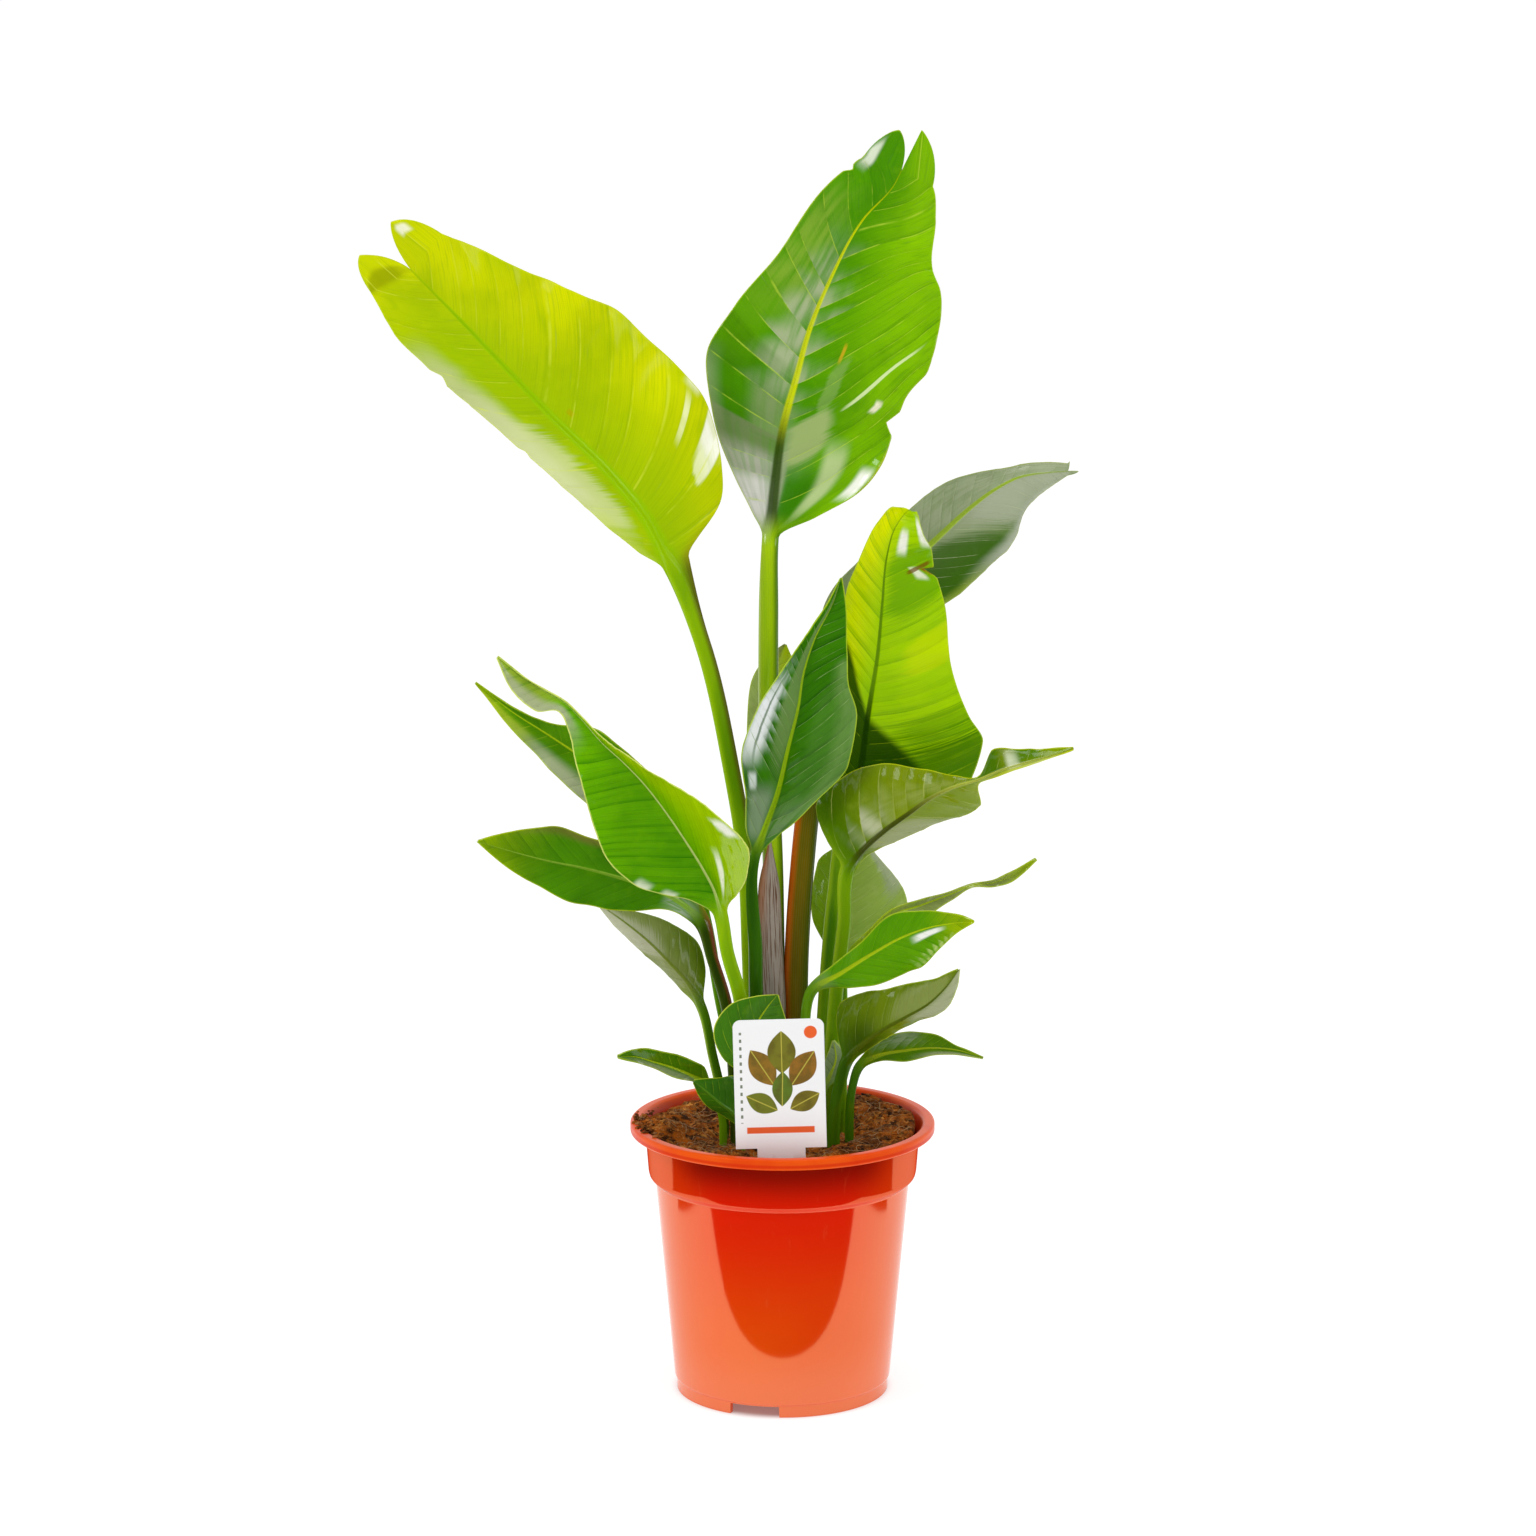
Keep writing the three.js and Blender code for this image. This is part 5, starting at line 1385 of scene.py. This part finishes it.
def soilPaint(name, tones=None):
    p = Paint(name)
    coarse, fine = p.clouds(120, 5, None, 0.65), p.clouds(700, 3)
    colour = p.blend(soil["dark"], soil["brown"], coarse.rise(0.38, 0.58))
    colour = p.blend(colour, soil["light"], p.clouds(260, 4).rise(0.5, 0.7) * p.clouds(45, 3).rise(0.4, 0.6))
    colour = p.blend(colour, soil["dark"], p.clouds(60, 4).rise(0.52, 0.64) * 0.75)
    colour = p.blend(colour, soil["grain"], p.clouds(420, 2).rise(0.68, 0.78) * 0.8)
    one, other = [p.clouds(420, 3, way).rise(0.56, 0.66) for way in ((1, 0.16, 1), (0.16, 1, 1))]
    threads = one.most(other)
    colour = p.blend(colour, soil["thread"], threads * 0.6)
    if tones:
        tone = p.read("tone")
        colour = p.blend(colour, tones["dark"], (1 - tone.rise(0, 0.45)) * 0.8)
        colour = p.blend(colour, tones["light"], tone.rise(0.7, 1) * 0.8)
    p.set(baseColor=colour, roughness=0.86 + fine * 0.12, specularIORLevel=0.1)
    p.bump(coarse * 0.6 + fine * 0.3 + threads * 0.3, 0.0024, 1)
    return p.material


# Loose crumbs and bark on the soil, and a few spilt on the rim at the left.
soilBits = {
    "seed": 11, "count": 760, "reach": 102, "size": (0.5, 1.5), "big": 0.12, "bigger": 1.7,
    "stretch": [(0.7, 1.6), (0.5, 1.1), (0.4, 0.8)], "rough": (0.75, 1.15), "lift": 0.15,
    "spilt": 110, "spiltTurn": (186, 10), "spiltRadius": (104, 117),
    "dark": srgb(58, 32, 16), "light": srgb(172, 124, 80),
}


def randomSpot(dice, reach):
    turn, radius = dice.uniform(0, 2 * pi), reach * sqrt(dice.random())
    return radius * cos(turn), radius * sin(turn)


def makeSoilBits():
    dice = random.Random(soilBits["seed"])
    ratio, ballRadius = (1 + sqrt(5)) / 2, 1.9
    ball = [  # a ball of twenty sides, which each bit then squashes
        (-1, ratio, 0), (1, ratio, 0), (-1, -ratio, 0), (1, -ratio, 0), (0, -1, ratio), (0, 1, ratio),
        (0, -1, -ratio), (0, 1, -ratio), (ratio, 0, -1), (ratio, 0, 1), (-ratio, 0, -1), (-ratio, 0, 1),
    ]
    sides = [
        (0, 11, 5), (0, 5, 1), (0, 1, 7), (0, 7, 10), (0, 10, 11), (1, 5, 9), (5, 11, 4), (11, 10, 2),
        (10, 7, 6), (7, 1, 8), (3, 9, 4), (3, 4, 2), (3, 2, 6), (3, 6, 8), (3, 8, 9), (4, 9, 5),
        (2, 4, 11), (6, 2, 10), (8, 6, 7), (9, 8, 1),
    ]
    points, faces, tones = [], [], []
    for n in range(soilBits["count"]):
        x, y = randomSpot(dice, soilBits["reach"])
        spilt = n < soilBits["spilt"]
        if spilt:
            turn = radians(dice.gauss(*soilBits["spiltTurn"]))
            radius = dice.uniform(*soilBits["spiltRadius"])
            x, y = radius * cos(turn), radius * sin(turn)
        size = dice.uniform(*soilBits["size"])
        size *= soilBits["bigger"] if dice.random() < soilBits["big"] or spilt else 1
        stretch = [dice.uniform(*limits) for limits in soilBits["stretch"]]
        spin, tone = dice.uniform(0, 2 * pi), dice.random()
        first = len(points)
        z = max(soilHeight(x, y), pot["height"] * spilt) + soilBits["lift"] * size
        for corner in ball:
            rough = [dice.uniform(*soilBits["rough"]) for _ in range(3)]
            a, b, c = [corner[i] * size * stretch[i] * rough[i] / ballRadius for i in range(3)]
            points.append((x + a * cos(spin) - b * sin(spin), y + a * sin(spin) + b * cos(spin), z + c))
            tones.append(tone)
        faces += [tuple(first + i for i in side) for side in sides]
    piece = makePiece("soil_bits", points, faces, {"tone": tones}, smooth=False)
    piece.data.materials.append(soilPaint("soil_bits", soilBits))


# Pale root fibres, thin as hairs, that lie on the soil.
rootFibres = {
    "seed": 5, "count": 380, "reach": 96, "limit": 101, "steps": 9, "sides": 5,
    "bend": 0.35, "wander": 0.25, "stride": (0.9, 3.2), "thick": (0.14, 0.3), "taper": 0.6,
    "rise": (0, 3), "lift": 0.9, "follow": 0.7,  # how closely one follows the ups and downs of the soil
    "dark": srgb(122, 78, 44), "light": srgb(200, 160, 112), "stain": srgb(90, 54, 30),
}


def makeFibres():
    dice = random.Random(rootFibres["seed"])
    points, faces, tones = [], [], []
    steps, sides, follow = rootFibres["steps"], rootFibres["sides"], rootFibres["follow"]
    for _ in range(rootFibres["count"]):
        x, y = randomSpot(dice, rootFibres["reach"])
        heading = dice.uniform(0, 2 * pi)
        bend, tone = dice.uniform(-rootFibres["bend"], rootFibres["bend"]), dice.random()
        stride, thick, rise = [dice.uniform(*rootFibres[key]) for key in ("stride", "thick", "rise")]
        first, ground = len(points), soilHeight(x, y)
        for k in range(steps):
            share = k / (steps - 1)
            reach = min(1, rootFibres["limit"] / max(hypot(x, y), 1))
            x, y = x * reach, y * reach
            z = soilHeight(x, y) * follow + ground * (1 - follow) + rootFibres["lift"]
            z += rise * sin(pi * share)
            for s in range(sides):
                spin, fat = 2 * pi * s / sides, thick * (1 - rootFibres["taper"] * share)
                out = cos(spin) * fat
                points.append((x - sin(heading) * out, y + cos(heading) * out, z + sin(spin) * fat))
                tones.append(tone)
            x, y = x + cos(heading) * stride, y + sin(heading) * stride
            heading += bend + dice.uniform(-rootFibres["wander"], rootFibres["wander"])
        for k in range(steps - 1):
            for s in range(sides):
                a, b = first + k * sides, first + (k + 1) * sides
                faces.append((a + s, a + (s + 1) % sides, b + (s + 1) % sides, b + s))
        faces.append(tuple(range(first + sides - 1, first - 1, -1)))
        faces.append(tuple(range(first + (steps - 1) * sides, first + steps * sides)))
    piece = makePiece("root_fibres", points, faces, {"tone": tones})
    p = Paint("root_fibres")
    colour = p.blend(rootFibres["dark"], rootFibres["light"], p.read("tone"))
    colour = p.blend(colour, rootFibres["stain"], p.clouds(180, 3).rise(0.5, 0.7) * 0.6)
    p.set(baseColor=colour, roughness=0.7 + p.clouds(300, 2) * 0.2)
    piece.data.materials.append(p.material)


# The plant label: a white card on a stake, printed with plain leaf shapes.
label = {
    "width": 70, "height": 102, "bottom": 221, "thickness": 0.9, "corner": 6, "cornerSteps": 12,
    "x": -2.4, "y": -95, "lean": -1.5, "stake": 37, "depth": 176, "edge": 0.2, "blur": 0.3,
    "card": srgb(247, 247, 247), "cloud": srgb(242, 243, 243), "soiled": srgb(150, 116, 88),
    "leaves": [  # x and z on the card, turn, length, half width and colour of each printed leaf
        (22, 64, 122, 34, 10, srgb(150, 110, 10)), (37, 76, 90, 34, 11, srgb(124, 122, 10)),
        (53, 63, 56, 33, 10, srgb(156, 106, 10)), (21, 36, 154, 27, 8, srgb(116, 124, 14)),
        (54, 37, 28, 26, 8, srgb(128, 116, 10)), (37, 47, 88, 28, 8, srgb(96, 124, 20)),
    ],
    "leafShade": srgb(96, 84, 6), "leafRib": srgb(190, 180, 60),
    "sun": (59.5, 91.5, 5, srgb(240, 96, 20)),  # x, z, radius
    "band": (12, 5, 9, 61, srgb(236, 90, 16)),  # height, how tall, from and to across
    "dots": (5.5, 0.9, 6, 20.25, 92.25, srgb(120, 130, 110)),  # x, half width, pitch, from and to
}


def labelOutline():
    half, stake, low = label["width"] / 2, label["stake"] / 2, label["bottom"]
    top, corner = low + label["height"], label["corner"]
    line = [(-stake, label["depth"]), (stake, label["depth"]), (stake, low), (half, low)]
    for start, x in ((0, half - corner), (90, -half + corner)):
        for k in range(label["cornerSteps"] + 1):
            turn = radians(start + 90 * k / label["cornerSteps"])
            line.append((x + corner * cos(turn), top - corner + corner * sin(turn)))
    return line + [(-half, low), (-stake, low)]


def leant(x, y, z):  # the label leans a little about its middle
    lean, middle = radians(label["lean"]), label["bottom"] + label["height"] / 2
    z -= middle
    return label["x"] + x * cos(lean) + z * sin(lean), y, middle + z * cos(lean) - x * sin(lean)


def makeLabel():
    line = labelOutline()
    count, thick, edge = len(line), label["thickness"] / 2, label["edge"]
    points = []
    for y, inset in ((-thick, edge), (-thick + edge, 0), (thick - edge, 0), (thick, edge)):
        for i, (x, z) in enumerate(line):
            before, after = Vector(line[i - 1]), Vector(line[(i + 1) % count])
            along = (after - before).normalized()
            points.append(leant(x - along.y * inset, label["y"] + y, z + along.x * inset))
    faces = [tuple(range(count)), tuple(range(4 * count - 1, 3 * count - 1, -1))]
    for r in range(3):
        a, b = r * count, (r + 1) * count
        faces += [(a + (i + 1) % count, a + i, b + i, b + (i + 1) % count) for i in range(count)]
    piece = makePiece("plant_label", points, faces, replaces="plant_label", smooth=False)
    piece.data.materials.append(labelPaint())


def labelPaint():
    p = Paint("label_card")
    x, y, z = p.parts(p.place())
    lean, blur = radians(label["lean"]), label["blur"]
    right, up = x / mm - label["x"], z / mm - (label["bottom"] + label["height"] / 2)
    u = right * cos(lean) - up * sin(lean) + label["width"] / 2  # millimetres from the card's left edge
    v = right * sin(lean) + up * cos(lean) + label["height"] / 2  # and from its lower edge
    front = 1 - y.rise((label["y"] - 0.3) * mm, (label["y"] - 0.1) * mm)
    colour = p.blend(label["card"], label["cloud"], p.clouds(30, 2))

    def span(value, low, high, soft=blur):
        return value.rise(low - soft, low + soft) * (1 - value.rise(high - soft, high + soft))

    cx, cy, radius, sun = label["sun"]
    disc = 1 - p.distance(u - cx, v - cy).rise(radius - blur, radius + blur)
    colour = p.blend(colour, sun, disc * front)
    low, tall, left, end, band = label["band"]
    colour = p.blend(colour, band, span(v, low, low + tall) * span(u, left, end) * front)
    for cx, cy, turn, length, half, tint in label["leaves"]:
        c, s = cos(radians(turn)), sin(radians(turn))
        a = (u - cx) * c + (v - cy) * s
        b = (v - cy) * c - (u - cx) * s
        along = a / length * 2
        body = (1 - along * along) * half - abs(b)
        shade = p.blend(tint, label["leafShade"], p.clouds(110, 3).rise(0.4, 0.65) * 0.6)
        shade = p.blend(shade, label["leafRib"], 1 - abs(b).rise(0.15, 0.6))
        colour = p.blend(colour, shade, body.rise(-0.2, 0.4) * front)
    middle, half, pitch, low, high, ink = label["dots"]
    dots = (v * (2 * pi / pitch)).sine().rise(0.1, 0.3) * (1 - abs(u - middle).rise(half - 0.2, half + 0.2))
    colour = p.blend(colour, ink, dots * span(v, low, high, 0.25) * front)
    soiled = (1 - z.rise(0.206, 0.218)) * p.clouds(160, 4).rise(0.45, 0.65)
    colour = p.blend(colour, label["soiled"], soiled * 0.7)
    p.set(baseColor=colour, roughness=0.32 + p.clouds(90, 2) * 0.1, specularIORLevel=0.5)
    return p.material


for leaf in leaves:
    makeLeaf(leaf)
makePot()
print("pot ready")
makeSoil()
makeSoilBits()
makeFibres()
print("soil ready")
makeLabel()
print("label ready")
